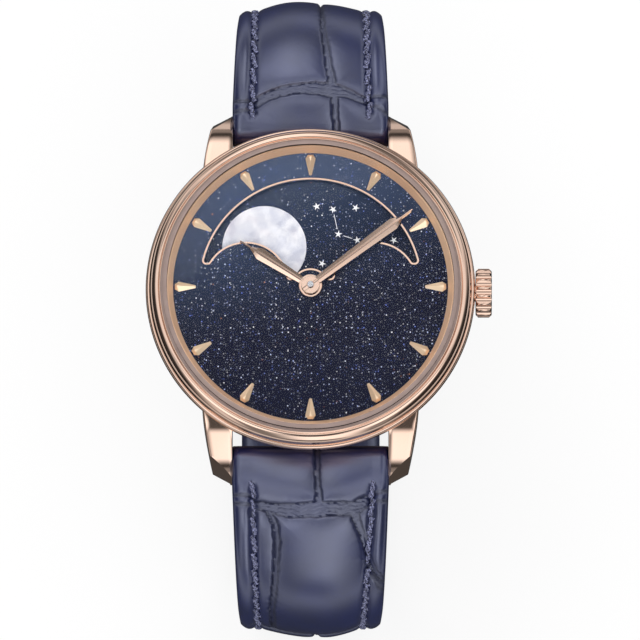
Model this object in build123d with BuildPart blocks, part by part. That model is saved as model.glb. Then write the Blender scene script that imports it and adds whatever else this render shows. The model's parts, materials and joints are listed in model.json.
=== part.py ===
from build123d import *
import math
import os

os.makedirs("parts", exist_ok=True)

# All sizes are in millimetres. The outer face of the case back lies at z = 0,
# +Z leaves the dial, +Y points to twelve o'clock and +X to the crown.

# Clearances shared by the whole watch
cut_margin = 1.0
running_gap = 0.03
seat_gap = 0.01
wheel_gap = 0.1
works_gap = 0.06

# Heights of the stack, from the case back up to the dial
back_thickness = 1.0
winding_wheel_thickness = 0.3
bridge_thickness = 1.1
barrel_height = 1.0
train_wheel_thickness = 0.14
plate_thickness = 1.3
works_thickness = 0.2
moon_disc_thickness = 0.25
moon_thickness = 0.06
dial_thickness = 0.4

ratchet_bottom = back_thickness + wheel_gap
ratchet_top = ratchet_bottom + winding_wheel_thickness
bridge_bottom = ratchet_top + wheel_gap
bridge_top = bridge_bottom + bridge_thickness
barrel_bottom = bridge_top + wheel_gap
barrel_top = barrel_bottom + barrel_height
centre_wheel_bottom = barrel_top + wheel_gap
centre_wheel_top = centre_wheel_bottom + train_wheel_thickness
plate_bottom = centre_wheel_top + 2 * wheel_gap
plate_top = plate_bottom + plate_thickness
works_step = works_thickness + works_gap
level_1 = plate_top + works_gap
level_2 = level_1 + works_step
level_3 = level_2 + works_step
level_4 = level_3 + works_step
moon_disc_bottom = level_4 + works_step
moon_disc_top = moon_disc_bottom + moon_disc_thickness
moon_top = moon_disc_top + moon_thickness
dial_bottom = moon_top + wheel_gap
dial_top = dial_bottom + dial_thickness

# Case and bezel
case_rim_radius = 19.05
case_flank_radius = 18.4
case_foot_radius = 17.6
cavity_radius = 16.45
bezel_radius = 18.65
bezel_bore_radius = 17.35
bezel_ledge_radius = 16.75
bezel_ledge = 0.05
bezel_rise = 0.9
bezel_edge = 0.25
rim_round = 0.5
case_top = dial_bottom - 0.5 * dial_thickness
ledge_top = dial_top + bezel_ledge
bezel_top = dial_top + bezel_rise

# Crystal, its gasket and the sloping flange ring round the dial
crystal_wall = 0.45
crystal_gasket_wall = 0.3
crystal_side = 1.35
crystal_bevel = 0.2
crystal_dome = 1.45
crystal_middle = 1.0
flange_inner_radius = 15.85
flange_outer_radius = 16.55
flange_height = 1.1
flange_lip = 0.1
crystal_radius = bezel_bore_radius - crystal_gasket_wall
crystal_top = ledge_top + crystal_side + crystal_bevel + crystal_dome

# Lugs and the recesses that take the strap ends
lug_gap = 18.0
lug_width = 3.55
lug_tip_width = 2.3
lug_tip_margin = 2.0
lug_corner_margin = 0.8
lug_root_margin = 7.5
lug_top_height = 6.45
lug_shoulder_margin = 1.0
lug_shoulder_height = 4.85
lug_tip_height = 1.35
lug_underside = 0.3
lug_arch = 0.55
strap_recess_radius = 17.55
strap_recess_height = 4.95
lug_pin_depth = 0.8

# Strap
strap_bar_gap = 0.85
strap_bar_height = 2.55
strap_width_slack = 0.1
strap_shoulder_margin = 2.6
strap_shoulder_height = 4.9
strap_shoulder_radius = 14.0
strap_lean = 15
strap_foot_radius = 12.0
strap_foot_height = 38.0
strap_thickness = 3.2
strap_foot_thickness = 2.0
strap_horizon_half_width = 8.05
strap_foot_half_width = 8.0
strap_12_end = 4.2
strap_6_end = -31.0
strap_tip_length = 9.0
strap_tip_half_width = 4.0
strap_hole_radius = 0.8
strap_hole_spacing = 6.5
strap_hole_count = 6
strap_hole_start = 15.0
foot_lift = 1.6

# Spring bars, buckle and keepers
bar_radius = 0.75
bar_tip_radius = 0.4
buckle_bar_radius = 0.7
buckle_width = 21.0
buckle_reach = 9.0
buckle_thickness = 1.5
buckle_side = 1.7
prong_width = 1.6
prong_thickness = 1.0
keeper_wall = 0.9
keeper_gap = 0.35
keeper_length = 4.0
keeper_space = 2.0

# Crown, tube and stem
crown_radius = 2.83
crown_length = 1.85
crown_start = 19.1
crown_flutes = 18
crown_flute_radius = 0.4
crown_bevel = 0.3
tube_radius = 1.0
tube_bore_radius = 0.65
tube_start = 16.0
tube_end = 19.95
stem_radius = 0.5
stem_thread_radius = 0.45
stem_square = 0.7
stem_pivot_radius = 0.25
stem_inner_end = 5.9
stem_square_start = 7.0
groove_start = 13.85
groove_width = 0.45
groove_radius = 0.3
stem_height = plate_bottom

# Case back
back_radius = 17.5
back_opening_radius = 13.6
back_glass_radius = 14.3
back_glass_ledge = 0.25
back_glass_thickness = 0.65
back_collar_radius = 16.1
back_collar_bore = 15.5
back_collar_height = 1.15
back_gasket_height = 0.5
back_screw_count = 6
back_screw_circle = 16.95
back_screw_head_radius = 0.45
back_screw_radius = 0.28
back_screw_head_height = 0.45
back_screw_length = 2.0
screw_slot = 0.14
screw_slot_depth = 0.15

# Movement holder, main plate and bridges
plate_radius = 15.6
holder_gap = 0.03
bridge_radius = 15.3
bridge_foot_radius = 13.2
bridge_split = 0.25
cock_thickness = 0.8
pallet_bridge_thickness = 0.35
keyless_half_width = 1.6
keyless_start = 6.6
keyless_end = 13.9
bridge_screw_radius = 0.35
bridge_screw_head_radius = 0.75
bridge_screw_head_height = 0.4
bridge_screw_circle = 14.3
jewel_radius = 0.62
jewel_height = 0.3
pivot_radius = 0.14
arbor_radius = 0.24

# Tooth proportions, as shares of the module and of the tooth pitch
tip_share = 1.0
root_share = 1.2
wheel_tip_width_share = 0.2
wheel_root_width_share = 0.56
leaf_tip_width_share = 0.18
leaf_root_width_share = 0.46

# Going train
barrel_teeth = 80
centre_leaves = 10
barrel_module = 0.15
centre_teeth = 80
third_leaves = 10
centre_module = 0.1
third_teeth = 75
fourth_leaves = 10
third_module = 0.09
fourth_teeth = 72
escape_leaves = 8
fourth_module = 0.08
escape_teeth = 20
escape_radius = 2.0
escape_hub_radius = 1.45
barrel_bearing = 50
third_bearing = 200
fourth_bearing = 285
escape_bearing = 330
pallet_bearing = 0
balance_bearing = 10
pallet_distance = 2.165
balance_distance = 3.2
barrel_wall = 0.35
barrel_arbor_radius = 1.2
barrel_lid_thickness = 0.2
centre_arbor_radius = 0.27

# Winding work
winding_module = 0.16
ratchet_teeth = 64
crown_wheel_teeth = 38
crown_wheel_hub_radius = 0.8
crown_wheel_rim_radius = 2.2
winding_pinion_teeth = 16
winding_pinion_radius = 1.25
winding_pinion_start = 12.4
winding_pinion_length = 1.4
sliding_pinion_start = 9.6
sliding_pinion_length = 2.4
sliding_pinion_radius = 1.15
pinion_tooth_depth = 0.2
lever_thickness = works_thickness
lever_reach = 2.6

# Balance
balance_radius = 4.2
balance_rim_width = 0.45
balance_rim_height = 0.4
balance_arm_width = 0.5
balance_arm_thickness = 0.15
roller_radius = 0.5
impulse_pin_radius = 0.1
hairspring_start_radius = 0.8
hairspring_pitch = 0.5
hairspring_half_turns = 9
hairspring_strip = 0.06
hairspring_height = 0.15
mainspring_start_radius = 1.75
mainspring_pitch = 0.6
mainspring_half_turns = 11
mainspring_strip = 0.12

# Motion work and moon train
works_distance_module = 0.1
cannon_leaves = 12
minute_wheel_teeth = 36
minute_pinion_leaves = 10
minute_pinion_module = 0.096
hour_wheel_teeth = 40
minute_wheel_bearing = -20
setting_wheel_teeth = 46
setting_rim_depth = 0.22
moon_driver_teeth = 20
moon_drive_teeth = 70
moon_drive_module = 0.11
moon_drive_leaves = 20
moon_idler_teeth = 50
moon_idler_module = 0.125
moon_idler_leaves = 10
moon_ring_teeth = 135
moon_drive_bearing = 200
moon_ring_rim = 0.55
moon_boss_radius = 1.8
moon_bridge_radius = 6.0
moon_bridge_thickness = 0.15
moon_pillar_radius = 0.35
moon_disc_radius = 12.95
moon_radius = 4.85
moon_centre_radius = 7.18
moon_bearing = 47.8

# Hands: the hour hand points just past ten and the minute hand near nine past
hour_hand_angle = -56.9
minute_hand_angle = 52.8
cannon_tube_radius = 0.5
cannon_tip_radius = 0.33
hour_tube_radius = 0.9
hour_hand_rise = 0.45
minute_hand_rise = 0.9
hand_thickness = 0.22
pin_rise = 0.3
hour_hub_radius = 1.33
hour_hand_start_width = 0.82
hour_hand_width = 1.47
hour_hand_shoulder = 6.95
hour_hand_needle = 0.3
hour_hand_length = 9.7
minute_hub_radius = 1.05
minute_hand_start_width = 0.85
minute_hand_width = 1.4
minute_hand_shoulder = 12.0
minute_hand_needle = 0.32
minute_hand_length = 14.75

# Dial, its opening and the applied markers
dial_radius = 16.35
dial_hole_radius = 1.0
opening_radius = 12.7
hump_radius = 4.9
hump_reach = 7.43
hump_rise = 0.4
arch_radius = 2.15
opening_tip_height = 2.8
opening_valley_height = 0.95
opening_round = 0.3
opening_frame_width = 0.2
opening_frame_height = 0.12
marker_count = 12
marker_outer_radius = 15.64
marker_inner_radius = 13.2
marker_width = 1.18
marker_shoulder = 0.45
marker_inner_width = 0.35
marker_height = 0.4
marker_bevel = 0.15

inner_crystal_radius = crystal_radius - crystal_wall
strap_bar_reach = case_rim_radius + strap_bar_gap
strap_shoulder_reach = strap_bar_reach + strap_shoulder_margin
lug_tip_reach = strap_bar_reach + lug_tip_margin
lug_corner_reach = strap_bar_reach + lug_corner_margin
lug_root = strap_bar_reach - lug_root_margin
lug_shoulder_reach = strap_bar_reach - lug_shoulder_margin


# Outlines and turned shapes used by several pieces
def polar(radius, angle):
    return (radius * math.cos(math.radians(angle)), radius * math.sin(math.radians(angle)))


def disc(centre, low, high, radius, mode=Mode.ADD):
    with BuildSketch(Plane((centre[0], centre[1], low))) as outline:
        Circle(radius)
    extrude(outline.sketch, amount=high - low, mode=mode)


def ring(centre, low, high, outer, inner):
    with BuildSketch(Plane((centre[0], centre[1], low))) as outline:
        Circle(outer)
        Circle(inner, mode=Mode.SUBTRACT)
    extrude(outline.sketch, amount=high - low)


def axle(low, high, radius, mode=Mode.ADD):
    with BuildSketch(Plane((low, 0, stem_height), x_dir=(0, 1, 0), z_dir=(1, 0, 0))) as outline:
        Circle(radius)
    extrude(outline.sketch, amount=high - low, mode=mode)


def block(low, high, mode=Mode.ADD):
    middle = ((low[0] + high[0]) / 2, (low[1] + high[1]) / 2, low[2])
    with BuildSketch(Plane(middle)) as outline:
        Rectangle(high[0] - low[0], high[1] - low[1])
    extrude(outline.sketch, amount=high[2] - low[2], mode=mode)


def windows(centre, low, high, circle, radius, count):
    with BuildSketch(Plane((centre[0], centre[1], low))) as outline:
        with PolarLocations(circle, count):
            Circle(radius)
    extrude(outline.sketch, amount=high - low, mode=Mode.SUBTRACT)


def tooth_points(teeth, module, phase, tip_width, root_width, inward=False):
    turn = 360 / teeth
    side = -1 if inward else 1
    tip = teeth * module / 2 + side * tip_share * module
    root = teeth * module / 2 - side * root_share * module
    points = []
    for index in range(teeth):
        middle = phase + index * turn
        points.append(polar(root, middle - turn * root_width / 2))
        points.append(polar(tip, middle - turn * tip_width / 2))
        points.append(polar(tip, middle + turn * tip_width / 2))
        points.append(polar(root, middle + turn * root_width / 2))
    return points


def toothed(centre, low, high, teeth, module, phase, leaf=False):
    tip_width = leaf_tip_width_share if leaf else wheel_tip_width_share
    root_width = leaf_root_width_share if leaf else wheel_root_width_share
    with BuildSketch(Plane((centre[0], centre[1], low))) as outline:
        with BuildLine():
            Polyline(*tooth_points(teeth, module, phase, tip_width, root_width), close=True)
        make_face()
    extrude(outline.sketch, amount=high - low)


# A tooth of one wheel has to meet a space of the other on their common bearing
def meshed(phase, teeth, other_teeth, bearing):
    turn = 360 / teeth
    other_turn = 360 / other_teeth
    offset = (phase - bearing + turn / 2) % turn - turn / 2
    return bearing + 180 - offset / turn * other_turn + other_turn / 2


def meshed_inside(phase, teeth, ring_teeth, bearing):
    turn = 360 / teeth
    ring_turn = 360 / ring_teeth
    offset = (phase - bearing + turn / 2) % turn - turn / 2
    return bearing + offset / turn * ring_turn + ring_turn / 2


# A flat spiral strip of half circles whose two centres take turns
def spiral_strip(start_radius, pitch, half_turns, strip):
    inner = []
    outer = []
    shift = pitch / 4
    with BuildLine() as line:
        for index in range(half_turns):
            radius = start_radius + index * pitch / 2
            side = 1 if index % 2 == 0 else -1
            middle = -side * shift
            for reach, row in ((radius - strip / 2, inner), (radius + strip / 2, outer)):
                start = (middle + side * reach, 0)
                top = (middle, side * reach)
                end = (middle - side * reach, 0)
                row.append((start, top, end))
        for start, top, end in inner:
            ThreePointArc(start, top, end)
        for start, top, end in outer:
            ThreePointArc(start, top, end)
        Line(inner[0][0], outer[0][0])
        Line(inner[-1][2], outer[-1][2])
    return line.line


def spiral_gap(pitch, strip):
    return pitch - strip


# Where each wheel stands
centre_at = (0, 0)
barrel_distance = (barrel_teeth + centre_leaves) * barrel_module / 2
third_distance = (centre_teeth + third_leaves) * centre_module / 2
fourth_distance = (third_teeth + fourth_leaves) * third_module / 2
escape_distance = (fourth_teeth + escape_leaves) * fourth_module / 2
works_distance = (cannon_leaves + minute_wheel_teeth) * works_distance_module / 2
setting_distance = (minute_wheel_teeth + setting_wheel_teeth) * works_distance_module / 2
drive_distance = (moon_driver_teeth + moon_drive_teeth) * moon_drive_module / 2
idler_distance = (moon_drive_leaves + moon_idler_teeth) * moon_idler_module / 2
ring_distance = (moon_ring_teeth - moon_idler_leaves) * moon_drive_module / 2
winding_distance = (ratchet_teeth + crown_wheel_teeth) * winding_module / 2


def beside(point, distance, bearing):
    step = polar(distance, bearing)
    return (point[0] + step[0], point[1] + step[1])


def bearing_of(start, end):
    return math.degrees(math.atan2(end[1] - start[1], end[0] - start[0]))


barrel_at = polar(barrel_distance, barrel_bearing)
third_at = polar(third_distance, third_bearing)
fourth_at = beside(third_at, fourth_distance, fourth_bearing)
escape_at = beside(fourth_at, escape_distance, escape_bearing)
pallet_at = beside(escape_at, pallet_distance, pallet_bearing)
balance_at = beside(pallet_at, balance_distance, balance_bearing)
minute_wheel_at = polar(works_distance, minute_wheel_bearing)
setting_across = math.sqrt(setting_distance**2 - minute_wheel_at[1] ** 2)
setting_at = (minute_wheel_at[0] + setting_across, 0)
crown_wheel_at = (barrel_at[0] + math.sqrt(winding_distance**2 - barrel_at[1] ** 2), 0)
drive_at = polar(drive_distance, moon_drive_bearing)
idler_cosine = drive_distance**2 + ring_distance**2 - idler_distance**2
idler_cosine = idler_cosine / (2 * drive_distance * ring_distance)
idler_bearing = moon_drive_bearing + math.degrees(math.acos(idler_cosine))
idler_at = polar(ring_distance, idler_bearing)

# Case middle: a turned body with four lugs, a strap recess at each end and the crown's bore
with BuildPart() as lug:
    with BuildSketch(Plane.YZ.offset(lug_gap / 2)):
        with BuildLine():
            shoulder = (lug_shoulder_reach, lug_shoulder_height)
            tip = (lug_tip_reach, lug_tip_height)
            heel = (lug_tip_reach - lug_underside, lug_underside)
            root_low = (lug_root, back_thickness)
            ThreePointArc((lug_root, lug_top_height), shoulder, tip)
            Line(tip, heel)
            middle = ((lug_root + lug_tip_reach) / 2, (lug_underside + back_thickness) / 2 + lug_arch)
            ThreePointArc(heel, middle, root_low)
            Line(root_low, (lug_root, lug_top_height))
        make_face()
    extrude(amount=lug_width)
    with BuildSketch(Plane.XY):
        with BuildLine():
            Polyline(
                (lug_gap / 2, lug_root),
                (lug_gap / 2 + lug_width, lug_root),
                (lug_gap / 2 + lug_tip_width, lug_corner_reach),
                (lug_gap / 2, lug_tip_reach),
                close=True,
            )
        make_face()
    extrude(amount=lug_top_height + cut_margin, mode=Mode.INTERSECT)

with BuildPart() as case_middle:
    with BuildSketch(Plane.XZ):
        with BuildLine():
            rim_low = dial_bottom - dial_thickness - rim_round
            Line((cavity_radius, back_thickness), (case_foot_radius, back_thickness))
            ThreePointArc(
                (case_foot_radius, back_thickness),
                (case_flank_radius, (back_thickness + rim_low) / 2),
                (case_rim_radius, rim_low),
            )
            RadiusArc((case_rim_radius, rim_low), (bezel_radius + bezel_ledge, case_top), -rim_round * 2)
            Line((bezel_radius + bezel_ledge, case_top), (cavity_radius, case_top))
            Line((cavity_radius, case_top), (cavity_radius, back_thickness))
        make_face()
    revolve(axis=Axis.Z)
    with BuildSketch(Plane.XY.offset(back_thickness)) as recess:
        Circle(case_rim_radius + cut_margin)
        Circle(strap_recess_radius, mode=Mode.SUBTRACT)
        Rectangle(lug_gap, 2 * case_rim_radius + 2 * cut_margin, mode=Mode.INTERSECT)
    extrude(amount=strap_recess_height - back_thickness, mode=Mode.SUBTRACT)
    add(lug.part)
    add(mirror(lug.part, about=Plane.YZ, mode=Mode.PRIVATE))
    add(mirror(lug.part, about=Plane.XZ, mode=Mode.PRIVATE))
    add(mirror(mirror(lug.part, about=Plane.YZ, mode=Mode.PRIVATE), about=Plane.XZ, mode=Mode.PRIVATE))
    disc(centre_at, back_thickness, case_top, cavity_radius, Mode.SUBTRACT)
    axle(cavity_radius - cut_margin, case_rim_radius + cut_margin, tube_radius, Mode.SUBTRACT)
    for side in (-1, 1):
        hole_start = -lug_gap / 2 - lug_pin_depth
        hole_plane = Plane((hole_start, side * strap_bar_reach, strap_bar_height), z_dir=(1, 0, 0))
        with BuildSketch(hole_plane):
            Circle(bar_tip_radius + running_gap)
        extrude(amount=lug_gap + 2 * lug_pin_depth, mode=Mode.SUBTRACT)
    with BuildSketch(Plane.XY.offset(back_thickness)):
        with PolarLocations(back_screw_circle, back_screw_count):
            Circle(back_screw_radius + seat_gap)
    extrude(amount=back_screw_length, mode=Mode.SUBTRACT)
case_middle.part.label = "case_middle"
export_step(case_middle.part, "parts/case_middle.step")

# Bezel: a rounded polished ring with the crystal's ledge inside
with BuildPart() as bezel:
    with BuildSketch(Plane.XZ):
        with BuildLine():
            outer_low = (bezel_radius, case_top)
            outer_high = (bezel_radius, case_top + bezel_edge)
            inner_high = (bezel_bore_radius + bezel_ledge, bezel_top)
            Line((bezel_ledge_radius, case_top), outer_low)
            Line(outer_low, outer_high)
            RadiusArc(outer_high, inner_high, -(bezel_radius - bezel_bore_radius) * 1.4)
            Line(inner_high, (bezel_bore_radius, bezel_top))
            Line((bezel_bore_radius, bezel_top), (bezel_bore_radius, ledge_top))
            Line((bezel_bore_radius, ledge_top), (bezel_ledge_radius, ledge_top))
            Line((bezel_ledge_radius, ledge_top), (bezel_ledge_radius, case_top))
        make_face()
    revolve(axis=Axis.Z)
bezel.part.label = "bezel"
export_step(bezel.part, "parts/bezel.step")

# Crystal: a domed box crystal, hollow over the hands
with BuildPart() as crystal:
    side_high = ledge_top + crystal_side
    bevel_high = side_high + crystal_bevel
    hollow_low = side_high - crystal_bevel
    hollow_high = crystal_top - crystal_middle
    shells = (
        (crystal_radius, side_high, crystal_radius - crystal_bevel, bevel_high, crystal_top, Mode.ADD),
        (inner_crystal_radius, hollow_low, inner_crystal_radius, hollow_low, hollow_high, Mode.SUBTRACT),
    )
    for wall_radius, wall_high, shoulder_radius, shoulder_high, middle_high, mode in shells:
        sphere_radius = (shoulder_radius**2 + (middle_high - shoulder_high) ** 2) / (
            2 * (middle_high - shoulder_high)
        )
        disc(centre_at, ledge_top, wall_high, wall_radius, mode)
        with BuildSketch(Plane.XZ) as cap:
            with BuildLine():
                Line((0, wall_high), (wall_radius, wall_high))
                if shoulder_high > wall_high:
                    Line((wall_radius, wall_high), (shoulder_radius, shoulder_high))
                RadiusArc((shoulder_radius, shoulder_high), (0, middle_high), -sphere_radius)
                Line((0, middle_high), (0, wall_high))
            make_face()
        revolve(cap.sketch, axis=Axis.Z, mode=mode)
crystal.part.label = "crystal"
export_step(crystal.part, "parts/crystal.step")

# Crystal gasket: the ring between the crystal and the bezel's bore
with BuildPart() as crystal_gasket:
    ring(centre_at, ledge_top, bezel_top - bezel_ledge, bezel_bore_radius, crystal_radius)
crystal_gasket.part.label = "crystal_gasket"
export_step(crystal_gasket.part, "parts/crystal_gasket.step")

# Flange ring: slopes up from the dial to the crystal
with BuildPart() as flange_ring:
    with BuildSketch(Plane.XZ):
        with BuildLine():
            Polyline(
                (flange_inner_radius, dial_top),
                (flange_outer_radius, dial_top),
                (flange_outer_radius, dial_top + flange_height),
                (flange_outer_radius - flange_lip, dial_top + flange_height),
                close=True,
            )
        make_face()
    revolve(axis=Axis.Z)
flange_ring.part.label = "flange_ring"
export_step(flange_ring.part, "parts/flange_ring.step")

# Case back: a screwed ring with a window
with BuildPart() as case_back:
    ring(centre_at, 0, back_thickness, back_radius, back_opening_radius)
    ring(centre_at, back_thickness, back_thickness + back_collar_height, back_collar_radius, back_collar_bore)
    disc(centre_at, back_glass_ledge, back_thickness, back_glass_radius, Mode.SUBTRACT)
    with BuildSketch(Plane.XY):
        with PolarLocations(back_screw_circle, back_screw_count):
            Circle(back_screw_head_radius + seat_gap)
    extrude(amount=back_screw_head_height, mode=Mode.SUBTRACT)
    with BuildSketch(Plane.XY):
        with PolarLocations(back_screw_circle, back_screw_count):
            Circle(back_screw_radius + seat_gap)
    extrude(amount=back_thickness, mode=Mode.SUBTRACT)
case_back.part.label = "case_back"
export_step(case_back.part, "parts/case_back.step")

with BuildPart() as back_crystal:
    disc(centre_at, 0, back_glass_ledge, back_opening_radius - seat_gap)
    disc(centre_at, back_glass_ledge, back_glass_ledge + back_glass_thickness, back_glass_radius - seat_gap)
back_crystal.part.label = "back_crystal"
export_step(back_crystal.part, "parts/back_crystal.step")

with BuildPart() as back_gasket:
    gasket_outer = cavity_radius - seat_gap
    gasket_top = back_thickness + back_gasket_height
    ring(centre_at, back_thickness, gasket_top, gasket_outer, back_collar_radius + seat_gap)
back_gasket.part.label = "back_gasket"
export_step(back_gasket.part, "parts/back_gasket.step")

with BuildPart() as case_back_screws:
    with BuildSketch(Plane.XY.offset(screw_slot_depth / 2)):
        with PolarLocations(back_screw_circle, back_screw_count):
            Circle(back_screw_head_radius)
    extrude(amount=back_screw_head_height - screw_slot_depth / 2)
    with BuildSketch(Plane.XY.offset(back_screw_head_height)):
        with PolarLocations(back_screw_circle, back_screw_count):
            Circle(back_screw_radius)
    extrude(amount=back_screw_length)
    with BuildSketch(Plane.XY):
        with PolarLocations(back_screw_circle, back_screw_count):
            Rectangle(2 * back_screw_head_radius, screw_slot)
    extrude(amount=screw_slot_depth * 2, mode=Mode.SUBTRACT)
case_back_screws.part.label = "case_back_screws"
export_step(case_back_screws.part, "parts/case_back_screws.step")

# Movement holder: the ring that centres the movement and carries the dial's edge
holder_bottom = back_thickness + back_collar_height
with BuildPart() as movement_ring:
    ring(centre_at, holder_bottom, dial_bottom, cavity_radius - seat_gap, plate_radius + holder_gap)
    axle(plate_radius - cut_margin, cavity_radius + cut_margin, tube_radius, Mode.SUBTRACT)
movement_ring.part.label = "movement_ring"
export_step(movement_ring.part, "parts/movement_ring.step")

# Dial opening: an arc over two humps and the arch round the hands
def opening_outline(growth):
    valley = opening_valley_height - growth
    radius = opening_radius + growth
    with BuildSketch() as outline:
        Circle(radius)
        with Locations((0, -radius / 2 + valley / 2)):
            Rectangle(2 * radius, radius + valley, mode=Mode.SUBTRACT)
        with Locations((-hump_reach, hump_rise), (hump_reach, hump_rise)):
            Circle(hump_radius - growth, mode=Mode.SUBTRACT)
        Circle(arch_radius - growth, mode=Mode.SUBTRACT)
        with Locations((-opening_radius, 0), (opening_radius, 0)):
            Rectangle(opening_radius - hump_reach, 2 * opening_tip_height - 2 * growth, mode=Mode.SUBTRACT)
        fillet(outline.vertices(), opening_round + growth)
    return outline.sketch


with BuildPart() as dial:
    disc(centre_at, dial_bottom, dial_top, dial_radius)
    dial_opening = opening_outline(0).moved(Location((0, 0, dial_bottom)))
    extrude(dial_opening, amount=dial_thickness, mode=Mode.SUBTRACT)
    disc(centre_at, dial_bottom, dial_top, dial_hole_radius, Mode.SUBTRACT)
dial.part.label = "dial"
export_step(dial.part, "parts/dial.step")

with BuildPart() as aperture_frame:
    frame_outer = opening_outline(opening_frame_width).moved(Location((0, 0, dial_top)))
    frame_inner = opening_outline(0).moved(Location((0, 0, dial_top)))
    extrude(frame_outer, amount=opening_frame_height)
    extrude(frame_inner, amount=opening_frame_height, mode=Mode.SUBTRACT)
aperture_frame.part.label = "aperture_frame"
export_step(aperture_frame.part, "parts/aperture_frame.step")

# Twelve applied markers, each a long kite with its broad end outwards
with BuildPart() as hour_markers:
    for hour in range(marker_count):
        turn = 360 / marker_count * hour
        direction = polar(1, turn)
        with BuildSketch(Plane((0, 0, dial_top), x_dir=(direction[0], direction[1], 0), z_dir=(0, 0, 1))):
            with BuildLine():
                broad = marker_outer_radius - marker_shoulder
                Polyline(
                    (marker_outer_radius, 0),
                    (broad, marker_width / 2),
                    (marker_inner_radius, marker_inner_width / 2),
                    (marker_inner_radius, -marker_inner_width / 2),
                    (broad, -marker_width / 2),
                    close=True,
                )
            make_face()
        extrude(amount=marker_height)
    top_edges = hour_markers.faces().filter_by(Axis.Z).sort_by(Axis.Z)[-marker_count:].edges()
    chamfer(top_edges, marker_bevel)
hour_markers.part.label = "hour_markers"
export_step(hour_markers.part, "parts/hour_markers.step")


# Hands: a hub, a widening blade and a needle
def hand_plane(height, angle):
    return Plane((0, 0, height), x_dir=(*polar(1, -angle), 0), z_dir=(0, 0, 1))


def hand_points(start, start_width, shoulder, width, needle, length):
    return [
        (start_width / 2, start),
        (width / 2, shoulder),
        (needle / 2, shoulder + width),
        (needle / 4, length),
        (-needle / 4, length),
        (-needle / 2, shoulder + width),
        (-width / 2, shoulder),
        (-start_width / 2, start),
    ]


hour_hand_bottom = dial_top + hour_hand_rise
minute_hand_bottom = dial_top + minute_hand_rise
with BuildPart() as hour_hand:
    with BuildSketch(hand_plane(hour_hand_bottom, hour_hand_angle)):
        with BuildLine():
            Polyline(
                *hand_points(
                    hour_tube_radius,
                    hour_hand_start_width,
                    hour_hand_shoulder,
                    hour_hand_width,
                    hour_hand_needle,
                    hour_hand_length,
                ),
                close=True,
            )
        make_face()
        Circle(hour_hub_radius)
        Circle(hour_tube_radius, mode=Mode.SUBTRACT)
    extrude(amount=hand_thickness)
hour_hand.part.label = "hour_hand"
export_step(hour_hand.part, "parts/hour_hand.step")

with BuildPart() as minute_hand:
    with BuildSketch(hand_plane(minute_hand_bottom, minute_hand_angle)):
        with BuildLine():
            Polyline(
                *hand_points(
                    cannon_tip_radius,
                    minute_hand_start_width,
                    minute_hand_shoulder,
                    minute_hand_width,
                    minute_hand_needle,
                    minute_hand_length,
                ),
                close=True,
            )
        make_face()
        Circle(minute_hub_radius)
        Circle(cannon_tip_radius, mode=Mode.SUBTRACT)
    extrude(amount=hand_thickness)
minute_hand.part.label = "minute_hand"
export_step(minute_hand.part, "parts/minute_hand.step")

# Motion work: the cannon pinion, minute wheel and hour wheel, and the setting wheel beside them
minute_wheel_phase = 0
cannon_phase = meshed(
    minute_wheel_phase, minute_wheel_teeth, cannon_leaves, bearing_of(minute_wheel_at, centre_at)
)
hour_wheel_phase = 0
minute_pinion_phase = meshed(
    hour_wheel_phase, hour_wheel_teeth, minute_pinion_leaves, bearing_of(centre_at, minute_wheel_at)
)
setting_phase = meshed(
    minute_wheel_phase, minute_wheel_teeth, setting_wheel_teeth, bearing_of(minute_wheel_at, setting_at)
)
moon_driver_phase = 0
moon_drive_phase = meshed(
    moon_driver_phase, moon_driver_teeth, moon_drive_teeth, bearing_of(centre_at, drive_at)
)
moon_leaves_phase = 0
idler_phase = meshed(
    moon_leaves_phase, moon_drive_leaves, moon_idler_teeth, bearing_of(drive_at, idler_at)
)
idler_leaves_phase = 0
moon_ring_phase = meshed_inside(idler_leaves_phase, moon_idler_leaves, moon_ring_teeth, idler_bearing)

hour_tube_top = hour_hand_bottom + hand_thickness
cannon_shoulder = minute_hand_bottom - seat_gap
pin_top = minute_hand_bottom + hand_thickness + pin_rise
with BuildPart() as cannon_pinion:
    leaves_top = level_1 + works_thickness
    toothed(centre_at, level_1, leaves_top, cannon_leaves, works_distance_module, cannon_phase, True)
    disc(centre_at, level_1, cannon_shoulder, cannon_tube_radius)
    disc(centre_at, cannon_shoulder, pin_top, cannon_tip_radius)
    disc(centre_at, level_1, pin_top - cannon_tip_radius, centre_arbor_radius - seat_gap * 4, Mode.SUBTRACT)
cannon_pinion.part.label = "cannon_pinion"
export_step(cannon_pinion.part, "parts/cannon_pinion.step")

with BuildPart() as minute_wheel:
    wheel_top = level_1 + works_thickness
    rim = (minute_wheel_teeth, works_distance_module, minute_wheel_phase)
    toothed(minute_wheel_at, level_1, wheel_top, *rim)
    hole_circle = minute_wheel_teeth * works_distance_module / 3
    windows(minute_wheel_at, level_1, wheel_top, hole_circle, arbor_radius, 5)
    toothed(
        minute_wheel_at,
        wheel_top,
        level_2 + works_thickness,
        minute_pinion_leaves,
        minute_pinion_module,
        minute_pinion_phase,
        True,
    )
    disc(minute_wheel_at, level_1 - plate_thickness / 2, level_1, arbor_radius)
minute_wheel.part.label = "minute_wheel"
export_step(minute_wheel.part, "parts/minute_wheel.step")

with BuildPart() as hour_wheel:
    wheel_top = level_2 + works_thickness
    toothed(centre_at, level_2, wheel_top, hour_wheel_teeth, minute_pinion_module, hour_wheel_phase)
    toothed(
        centre_at,
        level_2 + works_thickness,
        level_3 + works_thickness,
        moon_driver_teeth,
        moon_drive_module,
        moon_driver_phase,
    )
    disc(centre_at, level_3, hour_tube_top, hour_tube_radius)
    disc(centre_at, level_2, hour_tube_top, cannon_tube_radius + running_gap, Mode.SUBTRACT)
hour_wheel.part.label = "hour_wheel"
export_step(hour_wheel.part, "parts/hour_wheel.step")

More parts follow.
